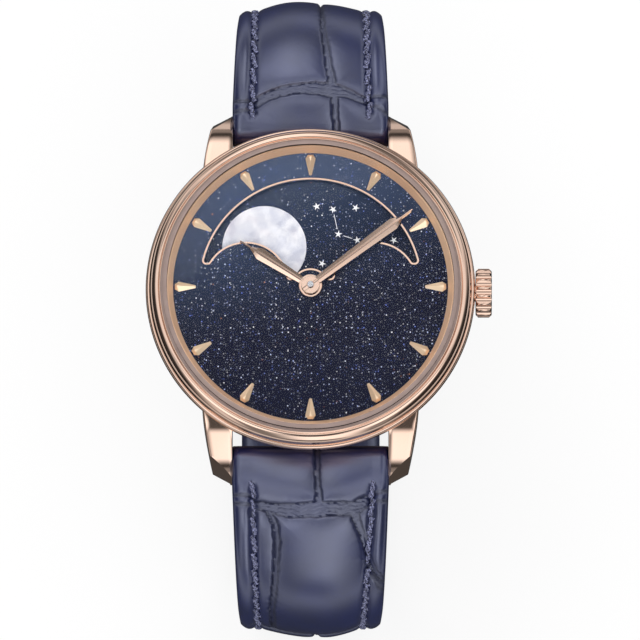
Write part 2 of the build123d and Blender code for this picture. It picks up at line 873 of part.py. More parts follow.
with BuildPart() as setting_wheel:
    wheel_top = level_1 + works_thickness
    toothed(setting_at, level_1, wheel_top, setting_wheel_teeth, works_distance_module, setting_phase)
    rim_radius = setting_wheel_teeth * works_distance_module / 2 - root_share * works_distance_module
    disc(setting_at, level_1 - setting_rim_depth, level_1, rim_radius)
    windows(setting_at, level_1 - setting_rim_depth, wheel_top, rim_radius / 2, arbor_radius, 6)
    disc(setting_at, level_1 - plate_thickness / 2, level_1, arbor_radius)
setting_wheel.part.label = "setting_wheel"
export_step(setting_wheel.part, "parts/setting_wheel.step")

# Moon train: drive wheel, idler and the toothed ring under the disc
with BuildPart() as moon_drive_wheel:
    wheel_top = level_3 + works_thickness
    toothed(drive_at, level_3, wheel_top, moon_drive_teeth, moon_drive_module, moon_drive_phase)
    hole_circle = moon_drive_teeth * moon_drive_module / 3
    windows(drive_at, level_3, wheel_top, hole_circle, hole_circle / 3, 5)
    toothed(
        drive_at, level_2, level_3, moon_drive_leaves, moon_idler_module, moon_leaves_phase, True
    )
    disc(drive_at, level_1 - plate_thickness / 2, level_2, arbor_radius)
    disc(drive_at, level_3, level_4 + moon_bridge_thickness, arbor_radius)
moon_drive_wheel.part.label = "moon_drive_wheel"
export_step(moon_drive_wheel.part, "parts/moon_drive_wheel.step")

with BuildPart() as moon_idler:
    toothed(idler_at, level_2, level_2 + works_thickness, moon_idler_teeth, moon_idler_module, idler_phase)
    hole_circle = moon_idler_teeth * moon_idler_module / 3
    windows(idler_at, level_2, level_2 + works_thickness, hole_circle, hole_circle / 3, 5)
    disc(idler_at, level_2, level_4, arbor_radius)
    toothed(
        idler_at,
        level_4,
        level_4 + works_thickness,
        moon_idler_leaves,
        moon_drive_module,
        idler_leaves_phase,
        True,
    )
    disc(idler_at, plate_bottom + 2 * jewel_height, level_2, arbor_radius)
moon_idler.part.label = "moon_idler"
export_step(moon_idler.part, "parts/moon_idler.step")

ring_radius = moon_ring_teeth * moon_drive_module / 2
with BuildPart() as moon_disc:
    ring(
        centre_at, moon_disc_bottom, moon_disc_top, moon_disc_radius, moon_boss_radius + running_gap
    )
    with BuildSketch(Plane.XY.offset(level_4)) as ring_outline:
        Circle(ring_radius + root_share * moon_drive_module + moon_ring_rim)
        with BuildLine():
            Polyline(
                *tooth_points(
                    moon_ring_teeth,
                    moon_drive_module,
                    moon_ring_phase,
                    wheel_tip_width_share,
                    wheel_root_width_share,
                    True,
                ),
                close=True,
            )
        make_face(mode=Mode.SUBTRACT)
    extrude(amount=moon_disc_bottom - level_4)
moon_disc.part.label = "moon_disc"
export_step(moon_disc.part, "parts/moon_disc.step")

# Two pearl moons, opposite each other on the disc
with BuildPart() as moon_inlays:
    for half in (0, 180):
        disc(polar(moon_centre_radius, 90 + moon_bearing + half), moon_disc_top, moon_top, moon_radius)
moon_inlays.part.label = "moon_inlays"
export_step(moon_inlays.part, "parts/moon_inlays.step")

# Moon bridge: a plate on three pillars whose boss carries the disc
moon_pillars = [polar(moon_bridge_radius - 2 * moon_pillar_radius, bearing) for bearing in (60, 140, 310)]
with BuildPart() as moon_bridge:
    disc(centre_at, level_4, level_4 + moon_bridge_thickness, moon_bridge_radius)
    disc(centre_at, level_4, moon_disc_top - seat_gap, moon_boss_radius)
    for pillar in moon_pillars:
        disc(pillar, plate_top, level_4, moon_pillar_radius)
    disc(centre_at, level_4, moon_disc_top, hour_tube_radius + 2 * running_gap, Mode.SUBTRACT)
    disc(drive_at, level_4, level_4 + moon_bridge_thickness, arbor_radius + running_gap, Mode.SUBTRACT)
    idler_room = moon_idler_leaves * moon_drive_module / 2 + 2 * tip_share * moon_drive_module + wheel_gap
    disc(idler_at, level_4, level_4 + moon_bridge_thickness, idler_room, Mode.SUBTRACT)
moon_bridge.part.label = "moon_bridge"
export_step(moon_bridge.part, "parts/moon_bridge.step")

# Going train
barrel_phase = 0
centre_leaves_phase = meshed(barrel_phase, barrel_teeth, centre_leaves, bearing_of(barrel_at, centre_at))
centre_phase = 0
third_leaves_phase = meshed(centre_phase, centre_teeth, third_leaves, third_bearing)
third_phase = 0
fourth_leaves_phase = meshed(third_phase, third_teeth, fourth_leaves, fourth_bearing)
fourth_phase = 0
escape_leaves_phase = meshed(fourth_phase, fourth_teeth, escape_leaves, escape_bearing)

barrel_radius = barrel_teeth * barrel_module / 2 - root_share * barrel_module - wheel_gap
flange_low = barrel_bottom + 0.25 * barrel_height
flange_high = barrel_bottom + 0.55 * barrel_height
third_bottom = flange_high + seat_gap
third_top = third_bottom + train_wheel_thickness
fourth_bottom = third_top + wheel_gap
fourth_top = fourth_bottom + train_wheel_thickness

with BuildPart() as barrel_drum:
    disc(barrel_at, barrel_bottom, barrel_top, barrel_radius)
    toothed(barrel_at, flange_low, flange_high, barrel_teeth, barrel_module, barrel_phase)
    drum_inside = barrel_radius - barrel_wall
    disc(barrel_at, barrel_bottom, barrel_top - barrel_lid_thickness, drum_inside, Mode.SUBTRACT)
    disc(barrel_at, barrel_bottom, barrel_top, pivot_radius * 3 + running_gap, Mode.SUBTRACT)
barrel_drum.part.label = "barrel_drum"
export_step(barrel_drum.part, "parts/barrel_drum.step")

with BuildPart() as barrel_cover:
    ring(
        barrel_at,
        barrel_bottom,
        barrel_bottom + barrel_lid_thickness,
        drum_inside - seat_gap,
        pivot_radius * 3 + running_gap,
    )
barrel_cover.part.label = "barrel_cover"
export_step(barrel_cover.part, "parts/barrel_cover.step")

spring_low = barrel_bottom + barrel_lid_thickness + wheel_gap / 2
spring_high = barrel_top - barrel_lid_thickness - wheel_gap / 2
with BuildPart() as barrel_arbor:
    disc(barrel_at, bridge_bottom + seat_gap, plate_bottom + plate_thickness / 3, pivot_radius * 3)
    disc(barrel_at, spring_low, spring_high, barrel_arbor_radius)
barrel_arbor.part.label = "barrel_arbor"
export_step(barrel_arbor.part, "parts/barrel_arbor.step")

with BuildPart() as mainspring:
    with BuildSketch(Plane((barrel_at[0], barrel_at[1], spring_low))):
        add(spiral_strip(mainspring_start_radius, mainspring_pitch, mainspring_half_turns, mainspring_strip))
        make_face()
    extrude(amount=spring_high - spring_low)
mainspring.part.label = "mainspring"
export_step(mainspring.part, "parts/mainspring.step")
print("mainspring gap between turns", spiral_gap(mainspring_pitch, mainspring_strip))

with BuildPart() as centre_wheel:
    toothed(centre_at, centre_wheel_bottom, centre_wheel_top, centre_teeth, centre_module, centre_phase)
    hole_circle = centre_teeth * centre_module / 3.2
    windows(centre_at, centre_wheel_bottom, centre_wheel_top, hole_circle, hole_circle / 3, 5)
    toothed(
        centre_at, flange_low - seat_gap, flange_high, centre_leaves, barrel_module, centre_leaves_phase, True
    )
    disc(centre_at, flange_high, centre_wheel_bottom, 2 * centre_arbor_radius)
    disc(centre_at, bridge_top - jewel_height, flange_low, pivot_radius)
    disc(centre_at, centre_wheel_top, pin_top - 2 * cannon_tip_radius, centre_arbor_radius - seat_gap * 5)
centre_wheel.part.label = "centre_wheel"
export_step(centre_wheel.part, "parts/centre_wheel.step")

with BuildPart() as third_wheel:
    toothed(third_at, third_bottom, third_top, third_teeth, third_module, third_phase)
    hole_circle = third_teeth * third_module / 3.2
    windows(third_at, third_bottom, third_top, hole_circle, hole_circle / 3, 5)
    toothed(
        third_at,
        centre_wheel_bottom - wheel_gap / 2,
        centre_wheel_top + wheel_gap / 2,
        third_leaves,
        centre_module,
        third_leaves_phase,
        True,
    )
    disc(third_at, third_bottom, centre_wheel_bottom, arbor_radius)
    disc(third_at, bridge_top - jewel_height, third_bottom, pivot_radius)
    disc(third_at, centre_wheel_top, plate_bottom + jewel_height, pivot_radius)
third_wheel.part.label = "third_wheel"
export_step(third_wheel.part, "parts/third_wheel.step")

with BuildPart() as fourth_wheel:
    toothed(fourth_at, fourth_bottom, fourth_top, fourth_teeth, fourth_module, fourth_phase)
    hole_circle = fourth_teeth * fourth_module / 3.2
    windows(fourth_at, fourth_bottom, fourth_top, hole_circle, hole_circle / 3, 5)
    toothed(
        fourth_at,
        third_bottom - wheel_gap / 2,
        fourth_bottom,
        fourth_leaves,
        third_module,
        fourth_leaves_phase,
        True,
    )
    disc(fourth_at, bridge_top - jewel_height, third_bottom, pivot_radius)
    disc(fourth_at, fourth_top, plate_bottom + jewel_height, pivot_radius)
fourth_wheel.part.label = "fourth_wheel"
export_step(fourth_wheel.part, "parts/fourth_wheel.step")


# Escape wheel teeth lean forward, each a narrow hook
def escape_points():
    points = []
    turn = 360 / escape_teeth
    for index in range(escape_teeth):
        start = index * turn
        points.append(polar(escape_hub_radius, start))
        points.append(polar(escape_radius, start + turn * 0.55))
        points.append(polar(escape_radius * 0.985, start + turn * 0.68))
        points.append(polar(escape_hub_radius, start + turn * 0.5))
    return points


with BuildPart() as escape_wheel:
    with BuildSketch(Plane((escape_at[0], escape_at[1], centre_wheel_bottom))):
        with BuildLine():
            Polyline(*escape_points(), close=True)
        make_face()
        with PolarLocations(escape_hub_radius / 1.8, 4):
            Circle(escape_hub_radius / 3.6, mode=Mode.SUBTRACT)
    extrude(amount=train_wheel_thickness)
    toothed(
        escape_at,
        fourth_bottom - wheel_gap / 2,
        centre_wheel_bottom,
        escape_leaves,
        fourth_module,
        escape_leaves_phase,
        True,
    )
    disc(escape_at, bridge_top - jewel_height, fourth_bottom, pivot_radius)
    disc(escape_at, centre_wheel_top, plate_bottom + jewel_height, pivot_radius)
escape_wheel.part.label = "escape_wheel"
export_step(escape_wheel.part, "parts/escape_wheel.step")

# Pallet fork: two arms that reach round the escape wheel and a lever to the balance
pallet_bridge_top = centre_wheel_bottom - 2 * wheel_gap
fork_plane = Plane(
    (pallet_at[0], pallet_at[1], centre_wheel_bottom),
    x_dir=(*polar(1, balance_bearing), 0),
    z_dir=(0, 0, 1),
)
arm_reach = pallet_distance * 0.42
fork_length = balance_distance - roller_radius - wheel_gap
with BuildPart() as pallet_fork:
    with BuildSketch(fork_plane):
        with Locations((fork_length / 2, 0)):
            Rectangle(fork_length, 0.8 * arbor_radius * 2)
        with Locations((fork_length - arbor_radius / 2, 0)):
            Rectangle(arbor_radius, arbor_radius * 3.2)
        with Locations((fork_length, 0)):
            Rectangle(arbor_radius, impulse_pin_radius * 3, mode=Mode.SUBTRACT)
        Rectangle(arbor_radius * 2, 2 * arm_reach)
        Circle(arbor_radius * 1.6)
    extrude(amount=train_wheel_thickness)
    disc(pallet_at, pallet_bridge_top - pallet_bridge_thickness / 2, centre_wheel_bottom, pivot_radius)
    disc(pallet_at, centre_wheel_top, plate_bottom + jewel_height, pivot_radius)
pallet_fork.part.label = "pallet_fork"
export_step(pallet_fork.part, "parts/pallet_fork.step")

# Balance: rim, two arms, staff, roller and impulse pin
cock_top = bridge_bottom + cock_thickness
spring_bottom = cock_top + wheel_gap
rim_bottom = spring_bottom + hairspring_height + wheel_gap
rim_top = rim_bottom + balance_rim_height
roller_low = pallet_bridge_top + wheel_gap
with BuildPart() as balance_wheel:
    ring(balance_at, rim_bottom, rim_top, balance_radius, balance_radius - balance_rim_width)
    with BuildSketch(Plane((balance_at[0], balance_at[1], rim_bottom + balance_arm_thickness))):
        Rectangle(2 * balance_radius - balance_rim_width, balance_arm_width)
        Rectangle(balance_arm_width, 2 * balance_radius - balance_rim_width)
    extrude(amount=balance_arm_thickness)
    disc(balance_at, cock_top - jewel_height, plate_bottom + jewel_height, pivot_radius)
    disc(balance_at, rim_bottom, roller_low, arbor_radius)
    disc(balance_at, roller_low - seat_gap, centre_wheel_bottom - seat_gap, roller_radius)
    pin_at = beside(balance_at, roller_radius * 0.7, 180 + balance_bearing)
    disc(pin_at, centre_wheel_bottom - seat_gap, centre_wheel_top, impulse_pin_radius)
balance_wheel.part.label = "balance_wheel"
export_step(balance_wheel.part, "parts/balance_wheel.step")

with BuildPart() as hairspring:
    with BuildSketch(Plane((balance_at[0], balance_at[1], spring_bottom))):
        add(spiral_strip(hairspring_start_radius, hairspring_pitch, hairspring_half_turns, hairspring_strip))
        make_face()
    extrude(amount=hairspring_height)
    collet_radius = hairspring_start_radius - hairspring_pitch / 4
    ring(balance_at, spring_bottom, spring_bottom + hairspring_height, collet_radius, pivot_radius)
hairspring.part.label = "hairspring"
export_step(hairspring.part, "parts/hairspring.step")
print("hairspring gap between turns", spiral_gap(hairspring_pitch, hairspring_strip))

# Winding work
ratchet_phase = 0
crown_wheel_bearing = bearing_of(barrel_at, crown_wheel_at)
crown_wheel_phase = meshed(ratchet_phase, ratchet_teeth, crown_wheel_teeth, crown_wheel_bearing)
with BuildPart() as ratchet_wheel:
    toothed(barrel_at, ratchet_bottom, ratchet_top, ratchet_teeth, winding_module, ratchet_phase)
    disc(barrel_at, ratchet_top, bridge_bottom, pivot_radius * 3)
ratchet_wheel.part.label = "ratchet_wheel"
export_step(ratchet_wheel.part, "parts/ratchet_wheel.step")

lower_rim_low = bridge_top + wheel_gap / 2
lower_rim_high = stem_height - winding_pinion_radius - running_gap
with BuildPart() as crown_wheel:
    toothed(crown_wheel_at, ratchet_bottom, ratchet_top, crown_wheel_teeth, winding_module, crown_wheel_phase)
    disc(crown_wheel_at, ratchet_top, lower_rim_low, crown_wheel_hub_radius)
    disc(crown_wheel_at, lower_rim_low, lower_rim_high, crown_wheel_rim_radius)
crown_wheel.part.label = "crown_wheel"
export_step(crown_wheel.part, "parts/crown_wheel.step")

with BuildPart() as winding_pinion:
    pinion_end = winding_pinion_start + winding_pinion_length
    axle(winding_pinion_start, pinion_end, winding_pinion_radius)
    axle(winding_pinion_start, pinion_end, stem_radius + running_gap, Mode.SUBTRACT)
    with BuildSketch(Plane((winding_pinion_start, 0, stem_height), x_dir=(0, 1, 0), z_dir=(1, 0, 0))):
        with PolarLocations(winding_pinion_radius, winding_pinion_teeth):
            Circle(pinion_tooth_depth / 2)
    extrude(amount=winding_pinion_length, mode=Mode.SUBTRACT)
winding_pinion.part.label = "winding_pinion"
export_step(winding_pinion.part, "parts/winding_pinion.step")

with BuildPart() as sliding_pinion:
    sliding_end = sliding_pinion_start + sliding_pinion_length
    axle(sliding_pinion_start, sliding_end, sliding_pinion_radius)
    with BuildSketch(Plane((sliding_pinion_start, 0, stem_height), x_dir=(0, 1, 0), z_dir=(1, 0, 0))):
        Rectangle(stem_square + 2 * running_gap, stem_square + 2 * running_gap)
    extrude(amount=sliding_pinion_length, mode=Mode.SUBTRACT)
    third = sliding_pinion_length / 3
    with BuildSketch(Plane((sliding_pinion_start + third, 0, stem_height), x_dir=(0, 1, 0), z_dir=(1, 0, 0))):
        Circle(sliding_pinion_radius + cut_margin)
        Circle(sliding_pinion_radius * 0.75, mode=Mode.SUBTRACT)
    extrude(amount=third, mode=Mode.SUBTRACT)
sliding_pinion.part.label = "sliding_pinion"
export_step(sliding_pinion.part, "parts/sliding_pinion.step")

# Winding stem: a pivot, a square, a round bearing with the lever's groove, and the crown's thread
crown_end = crown_start + crown_length
stem_pivot_end = stem_square_start
stem_end = crown_end - crown_bevel * 2
with BuildPart() as winding_stem:
    axle(stem_inner_end, stem_pivot_end, stem_pivot_radius)
    with BuildSketch(Plane((stem_square_start, 0, stem_height), x_dir=(0, 1, 0), z_dir=(1, 0, 0))):
        Rectangle(stem_square, stem_square)
    extrude(amount=winding_pinion_start - running_gap - stem_square_start)
    axle(winding_pinion_start - running_gap, stem_end - crown_length / 3, stem_radius)
    axle(stem_end - crown_length / 3, stem_end, stem_thread_radius)
    with BuildSketch(Plane((groove_start, 0, stem_height), x_dir=(0, 1, 0), z_dir=(1, 0, 0))):
        Circle(stem_radius + cut_margin)
        Circle(groove_radius, mode=Mode.SUBTRACT)
    extrude(amount=groove_width, mode=Mode.SUBTRACT)
winding_stem.part.label = "winding_stem"
export_step(winding_stem.part, "parts/winding_stem.step")

# Crown: fluted rim, bevelled ends, a plain end face and a bore that covers the tube
with BuildPart() as crown:
    axle(crown_start, crown_end, crown_radius)
    chamfer(crown.edges().filter_by(GeomType.CIRCLE), crown_bevel)
    with BuildSketch(Plane((crown_start, 0, stem_height), x_dir=(0, 1, 0), z_dir=(1, 0, 0))):
        with PolarLocations(crown_radius + crown_flute_radius / 3, crown_flutes):
            Circle(crown_flute_radius)
    extrude(amount=crown_length, mode=Mode.SUBTRACT)
    axle(crown_start, tube_end + 3 * running_gap, tube_radius + 2 * running_gap, Mode.SUBTRACT)
    axle(crown_start, stem_end - crown_length / 3, stem_radius, Mode.SUBTRACT)
    axle(crown_start, stem_end, stem_thread_radius, Mode.SUBTRACT)
crown.part.label = "crown"
export_step(crown.part, "parts/crown.step")

with BuildPart() as crown_tube:
    axle(tube_start, tube_end, tube_radius - seat_gap)
    axle(tube_start, tube_end, tube_bore_radius, Mode.SUBTRACT)
crown_tube.part.label = "crown_tube"
export_step(crown_tube.part, "parts/crown_tube.step")

# Setting lever: a plate over the main plate whose pin sits in the stem's groove
lever_pin_at = (groove_start + groove_width / 2, 0)
lever_pivot_at = (lever_pin_at[0], -lever_reach)
with BuildPart() as setting_lever:
    with BuildSketch(Plane((lever_pin_at[0], -lever_reach / 2, level_1))):
        SlotCenterToCenter(lever_reach, groove_width * 2, rotation=90)
    extrude(amount=lever_thickness)
    disc(lever_pin_at, stem_height + groove_radius + 2 * running_gap, level_1, groove_width * 0.4)
    disc(lever_pivot_at, plate_top - plate_thickness / 3, level_1, groove_width * 0.6)
setting_lever.part.label = "setting_lever"
export_step(setting_lever.part, "parts/setting_lever.step")

# Click: a pawl on the barrel bridge whose beak lies in a space of the ratchet wheel
ratchet_radius = ratchet_teeth * winding_module / 2
click_bearing = 360 / ratchet_teeth * 26.5
click_distance = ratchet_radius + 1.6 * bridge_screw_head_radius
click_turn = 40
click_at = beside(barrel_at, click_distance + bridge_screw_head_radius / 2, click_bearing - click_turn / 4)
beak_at = beside(barrel_at, ratchet_radius - winding_module / 3, click_bearing)
beak_bearing = bearing_of(click_at, beak_at)
beak_reach = math.dist(click_at, beak_at)
click_origin = (click_at[0], click_at[1], ratchet_bottom)
click_plane = Plane(click_origin, x_dir=(*polar(1, beak_bearing), 0), z_dir=(0, 0, 1))
with BuildPart() as click:
    with BuildSketch(click_plane):
        Circle(bridge_screw_head_radius)
        with BuildLine():
            Polyline(
                (0, bridge_screw_head_radius * 0.8),
                (beak_reach, winding_module / 4),
                (beak_reach, -winding_module / 4),
                (0, -bridge_screw_head_radius * 0.8),
                close=True,
            )
        make_face()
    extrude(amount=winding_wheel_thickness)
    disc(click_at, ratchet_top, bridge_bottom + bridge_thickness / 2, bridge_screw_radius)
click.part.label = "click"
export_step(click.part, "parts/click.step")

# Jewels: a ring round every train pivot, in the bridges and in the main plate
bridge_jewels = (centre_at, third_at, fourth_at, escape_at)
plate_jewels = (third_at, fourth_at, escape_at, pallet_at, balance_at)
with BuildPart() as jewels:
    for spot in bridge_jewels:
        ring(spot, bridge_top - jewel_height, bridge_top, jewel_radius, pivot_radius + running_gap)
    ring(balance_at, cock_top - jewel_height, cock_top, jewel_radius, pivot_radius + running_gap)
    pallet_jewel_low = pallet_bridge_top - pallet_bridge_thickness
    ring(pallet_at, pallet_jewel_low, pallet_bridge_top, jewel_radius * 0.7, pivot_radius + running_gap)
    for spot in plate_jewels:
        ring(spot, plate_bottom, plate_bottom + jewel_height, jewel_radius, pivot_radius + running_gap)
jewels.part.label = "jewels"
export_step(jewels.part, "parts/jewels.step")


# Bridges: pieces of one disc, divided by straight gaps, each with a foot at its rim
def bridge_part(points, thickness, foot_low):
    with BuildSketch(Plane.XY.offset(bridge_bottom)) as outline:
        Circle(bridge_radius)
        with BuildLine():
            Polyline(*points, close=True)
        make_face(mode=Mode.INTERSECT)
    extrude(outline.sketch, amount=thickness)
    with BuildSketch(Plane.XY.offset(foot_low)) as foot:
        Circle(bridge_radius)
        Circle(bridge_foot_radius, mode=Mode.SUBTRACT)
        with BuildLine():
            Polyline(*points, close=True)
        make_face(mode=Mode.INTERSECT)
    extrude(foot.sketch, amount=plate_bottom - foot_low)


def jewel_holes(spots, low, high):
    for spot in spots:
        disc(spot, low, high, jewel_radius + seat_gap, Mode.SUBTRACT)


reach = 2 * bridge_radius
split = bridge_split / 2
parting = keyless_half_width + bridge_split
barrel_corner = 1.3 * jewel_radius
train_parting_x = balance_at[0] - balance_radius - bridge_split
barrel_outline = (
    (-reach, barrel_corner + split),
    (winding_pinion_start / 3, barrel_corner + split),
    (winding_pinion_start / 2, -parting + split),
    (reach, -parting + split),
    (reach, reach),
    (-reach, reach),
)
train_outline = (
    (-reach, barrel_corner - split),
    (winding_pinion_start / 3 - split, barrel_corner - split),
    (winding_pinion_start / 3, -parting + split),
    (train_parting_x + balance_radius / 3, -parting - bridge_split),
    (train_parting_x, escape_at[1] - balance_radius / 2),
    (train_parting_x - balance_radius / 2, -reach),
    (-reach, -reach),
)
cock_outline = (
    (balance_at[0] - 0.5 * balance_radius, balance_at[1] + 0.35 * balance_radius),
    (balance_at[0] + 0.3 * balance_radius, balance_at[1] + 0.45 * balance_radius),
    (reach, balance_at[1]),
    (reach, -reach),
    (balance_at[0] + 0.25 * balance_radius, -reach),
    (balance_at[0] - 0.3 * balance_radius, balance_at[1] - 0.4 * balance_radius),
)

bridge_screws_at = (
    (polar(bridge_screw_circle, 25), bridge_bottom),
    (polar(bridge_screw_circle, 90), bridge_bottom),
    (polar(bridge_screw_circle, 155), bridge_bottom),
    (polar(bridge_screw_circle, 190), bridge_bottom),
    (polar(bridge_screw_circle, 235), bridge_bottom),
    (polar(bridge_screw_circle, -42), bridge_bottom),
)


def bridge_screw_holes():
    for spot, low in bridge_screws_at:
        disc(spot, low, low + bridge_screw_head_height, bridge_screw_head_radius + seat_gap, Mode.SUBTRACT)
        disc(spot, low, plate_top, bridge_screw_radius + seat_gap, Mode.SUBTRACT)


with BuildPart() as barrel_bridge:
    bridge_part(barrel_outline, bridge_thickness, bridge_top)
    disc(barrel_at, bridge_bottom, bridge_top, pivot_radius * 3 + running_gap, Mode.SUBTRACT)
    disc(crown_wheel_at, bridge_bottom, bridge_top, crown_wheel_hub_radius + running_gap, Mode.SUBTRACT)
    disc(click_at, bridge_bottom, bridge_top, bridge_screw_radius + running_gap, Mode.SUBTRACT)
    axle(bridge_foot_radius - cut_margin, bridge_radius + cut_margin, winding_pinion_radius, Mode.SUBTRACT)
    block(
        (keyless_start, -keyless_half_width, bridge_top),
        (bridge_radius - cut_margin / 2, keyless_half_width, plate_bottom),
        Mode.SUBTRACT,
    )
    bridge_screw_holes()
barrel_bridge.part.label = "barrel_bridge"
export_step(barrel_bridge.part, "parts/barrel_bridge.step")

with BuildPart() as train_bridge:
    bridge_part(train_outline, bridge_thickness, bridge_top)
    jewel_holes(bridge_jewels, bridge_top - jewel_height, bridge_top)
    for spot in bridge_jewels:
        disc(spot, bridge_bottom, bridge_top, pivot_radius + 2 * running_gap, Mode.SUBTRACT)
    bridge_screw_holes()
train_bridge.part.label = "train_bridge"
export_step(train_bridge.part, "parts/train_bridge.step")

with BuildPart() as balance_cock:
    bridge_part(cock_outline, cock_thickness, bridge_bottom + cock_thickness)
    jewel_holes((balance_at,), cock_top - jewel_height, cock_top)
    disc(balance_at, bridge_bottom, cock_top, pivot_radius + 2 * running_gap, Mode.SUBTRACT)
    spring_end = hairspring_start_radius + hairspring_half_turns * hairspring_pitch / 2
    stud_at = beside(balance_at, spring_end + 4 * running_gap, -60)
    disc(stud_at, cock_top, spring_bottom + hairspring_height, pivot_radius / 2)
    bridge_screw_holes()
balance_cock.part.label = "balance_cock"
export_step(balance_cock.part, "parts/balance_cock.step")

# Pallet bridge: a small bar under the balance with a post at each end
pallet_bar_plane = Plane(
    (pallet_at[0], pallet_at[1], pallet_jewel_low), x_dir=(*polar(1, pallet_bearing + 90), 0), z_dir=(0, 0, 1)
)
pallet_post_reach = arm_reach + 3 * arbor_radius
with BuildPart() as pallet_bridge:
    with BuildSketch(pallet_bar_plane):
        SlotCenterToCenter(2 * pallet_post_reach, 2 * jewel_radius)
    extrude(amount=pallet_bridge_thickness)
    for side in (-1, 1):
        post_at = beside(pallet_at, pallet_post_reach, pallet_bearing + side * 90)
        disc(post_at, pallet_bridge_top, plate_bottom, 1.3 * arbor_radius)
    disc(pallet_at, pallet_jewel_low, pallet_bridge_top, jewel_radius * 0.7 + seat_gap, Mode.SUBTRACT)
pallet_bridge.part.label = "pallet_bridge"
export_step(pallet_bridge.part, "parts/pallet_bridge.step")

with BuildPart() as bridge_screws:
    for spot, low in bridge_screws_at:
        head_top = low + bridge_screw_head_height
        disc(spot, low, head_top, bridge_screw_head_radius)
        disc(spot, head_top, plate_bottom + plate_thickness / 2, bridge_screw_radius)
        with BuildSketch(Plane((spot[0], spot[1], low), x_dir=(*polar(1, 30), 0), z_dir=(0, 0, 1))):
            Rectangle(2 * bridge_screw_head_radius, screw_slot)
        extrude(amount=screw_slot_depth, mode=Mode.SUBTRACT)
bridge_screws.part.label = "bridge_screws"
export_step(bridge_screws.part, "parts/bridge_screws.step")

# Main plate
with BuildPart() as main_plate:
    disc(centre_at, plate_bottom, plate_top, plate_radius)
    jewel_holes(plate_jewels, plate_bottom, plate_bottom + jewel_height)
    for spot in plate_jewels:
        pivot_high = plate_bottom + 1.5 * jewel_height
        disc(spot, plate_bottom, pivot_high, pivot_radius + 2 * running_gap, Mode.SUBTRACT)
    disc(centre_at, plate_bottom, plate_top, centre_arbor_radius + running_gap, Mode.SUBTRACT)
    barrel_pivot_high = plate_bottom + plate_thickness / 3 + running_gap
    disc(barrel_at, plate_bottom, barrel_pivot_high, pivot_radius * 3 + running_gap, Mode.SUBTRACT)
    works_pivot_low = level_1 - plate_thickness / 2 - running_gap
    for spot in (minute_wheel_at, setting_at, drive_at):
        disc(spot, works_pivot_low, plate_top, arbor_radius + running_gap, Mode.SUBTRACT)
    idler_pivot_low = plate_bottom + 2 * jewel_height - running_gap
    disc(idler_at, idler_pivot_low, plate_top, arbor_radius + running_gap, Mode.SUBTRACT)
    rim_low = level_1 - setting_rim_depth - wheel_gap
    disc(setting_at, rim_low, plate_top, rim_radius + wheel_gap, Mode.SUBTRACT)
    block(
        (keyless_start, -keyless_half_width, plate_bottom),
        (keyless_end, keyless_half_width, plate_top),
        Mode.SUBTRACT,
    )
    axle(keyless_end - cut_margin, plate_radius + cut_margin, stem_radius + running_gap, Mode.SUBTRACT)
    stem_pivot_room = stem_pivot_radius + running_gap
    axle(stem_inner_end - running_gap, keyless_start + cut_margin, stem_pivot_room, Mode.SUBTRACT)
    slot_half = groove_width * 0.4 + running_gap
    block(
        (lever_pin_at[0] - slot_half, -slot_half - lever_reach / 9, stem_height),
        (plate_radius + cut_margin, slot_half, plate_top),
        Mode.SUBTRACT,
    )
    lever_pivot_low = plate_top - plate_thickness / 3 - running_gap
    disc(lever_pivot_at, lever_pivot_low, plate_top, groove_width * 0.6 + running_gap, Mode.SUBTRACT)
    for spot, low in bridge_screws_at:
        thread_high = plate_bottom + plate_thickness / 2
        disc(spot, plate_bottom, thread_high, bridge_screw_radius + seat_gap, Mode.SUBTRACT)
main_plate.part.label = "main_plate"
export_step(main_plate.part, "parts/main_plate.step")

# Spring bars: a tube between the lugs with a thin tip in each lug
with BuildPart() as spring_bars:
    for side in (-1, 1):
        bar_parts = (
            (lug_gap / 2 + lug_pin_depth - running_gap, bar_tip_radius),
            (lug_gap / 2 - lug_pin_depth / 2, bar_radius),
        )
        for half, radius in bar_parts:
            bar_plane = Plane((-half, side * strap_bar_reach, strap_bar_height), z_dir=(1, 0, 0))
            with BuildSketch(bar_plane):
                Circle(radius)
            extrude(amount=2 * half)
spring_bars.part.label = "spring_bars"
export_step(spring_bars.part, "parts/spring_bars.step")


# Strap halves, drawn in a plane across the wrist. Each leaves its lug bar, rolls over the
# horizon and curls under to a flat foot: the short half's foot lies over the long half's tail.
# The outer line of a half: over the shoulder, leaning in on the way down, and round into the foot
strap_shoulder_centre = (strap_shoulder_reach, strap_shoulder_height - strap_shoulder_radius)
strap_bar_rise = math.sqrt(strap_shoulder_radius**2 - (strap_shoulder_reach - strap_bar_reach) ** 2)
strap_end_radius = strap_shoulder_centre[1] + strap_bar_rise - strap_bar_height


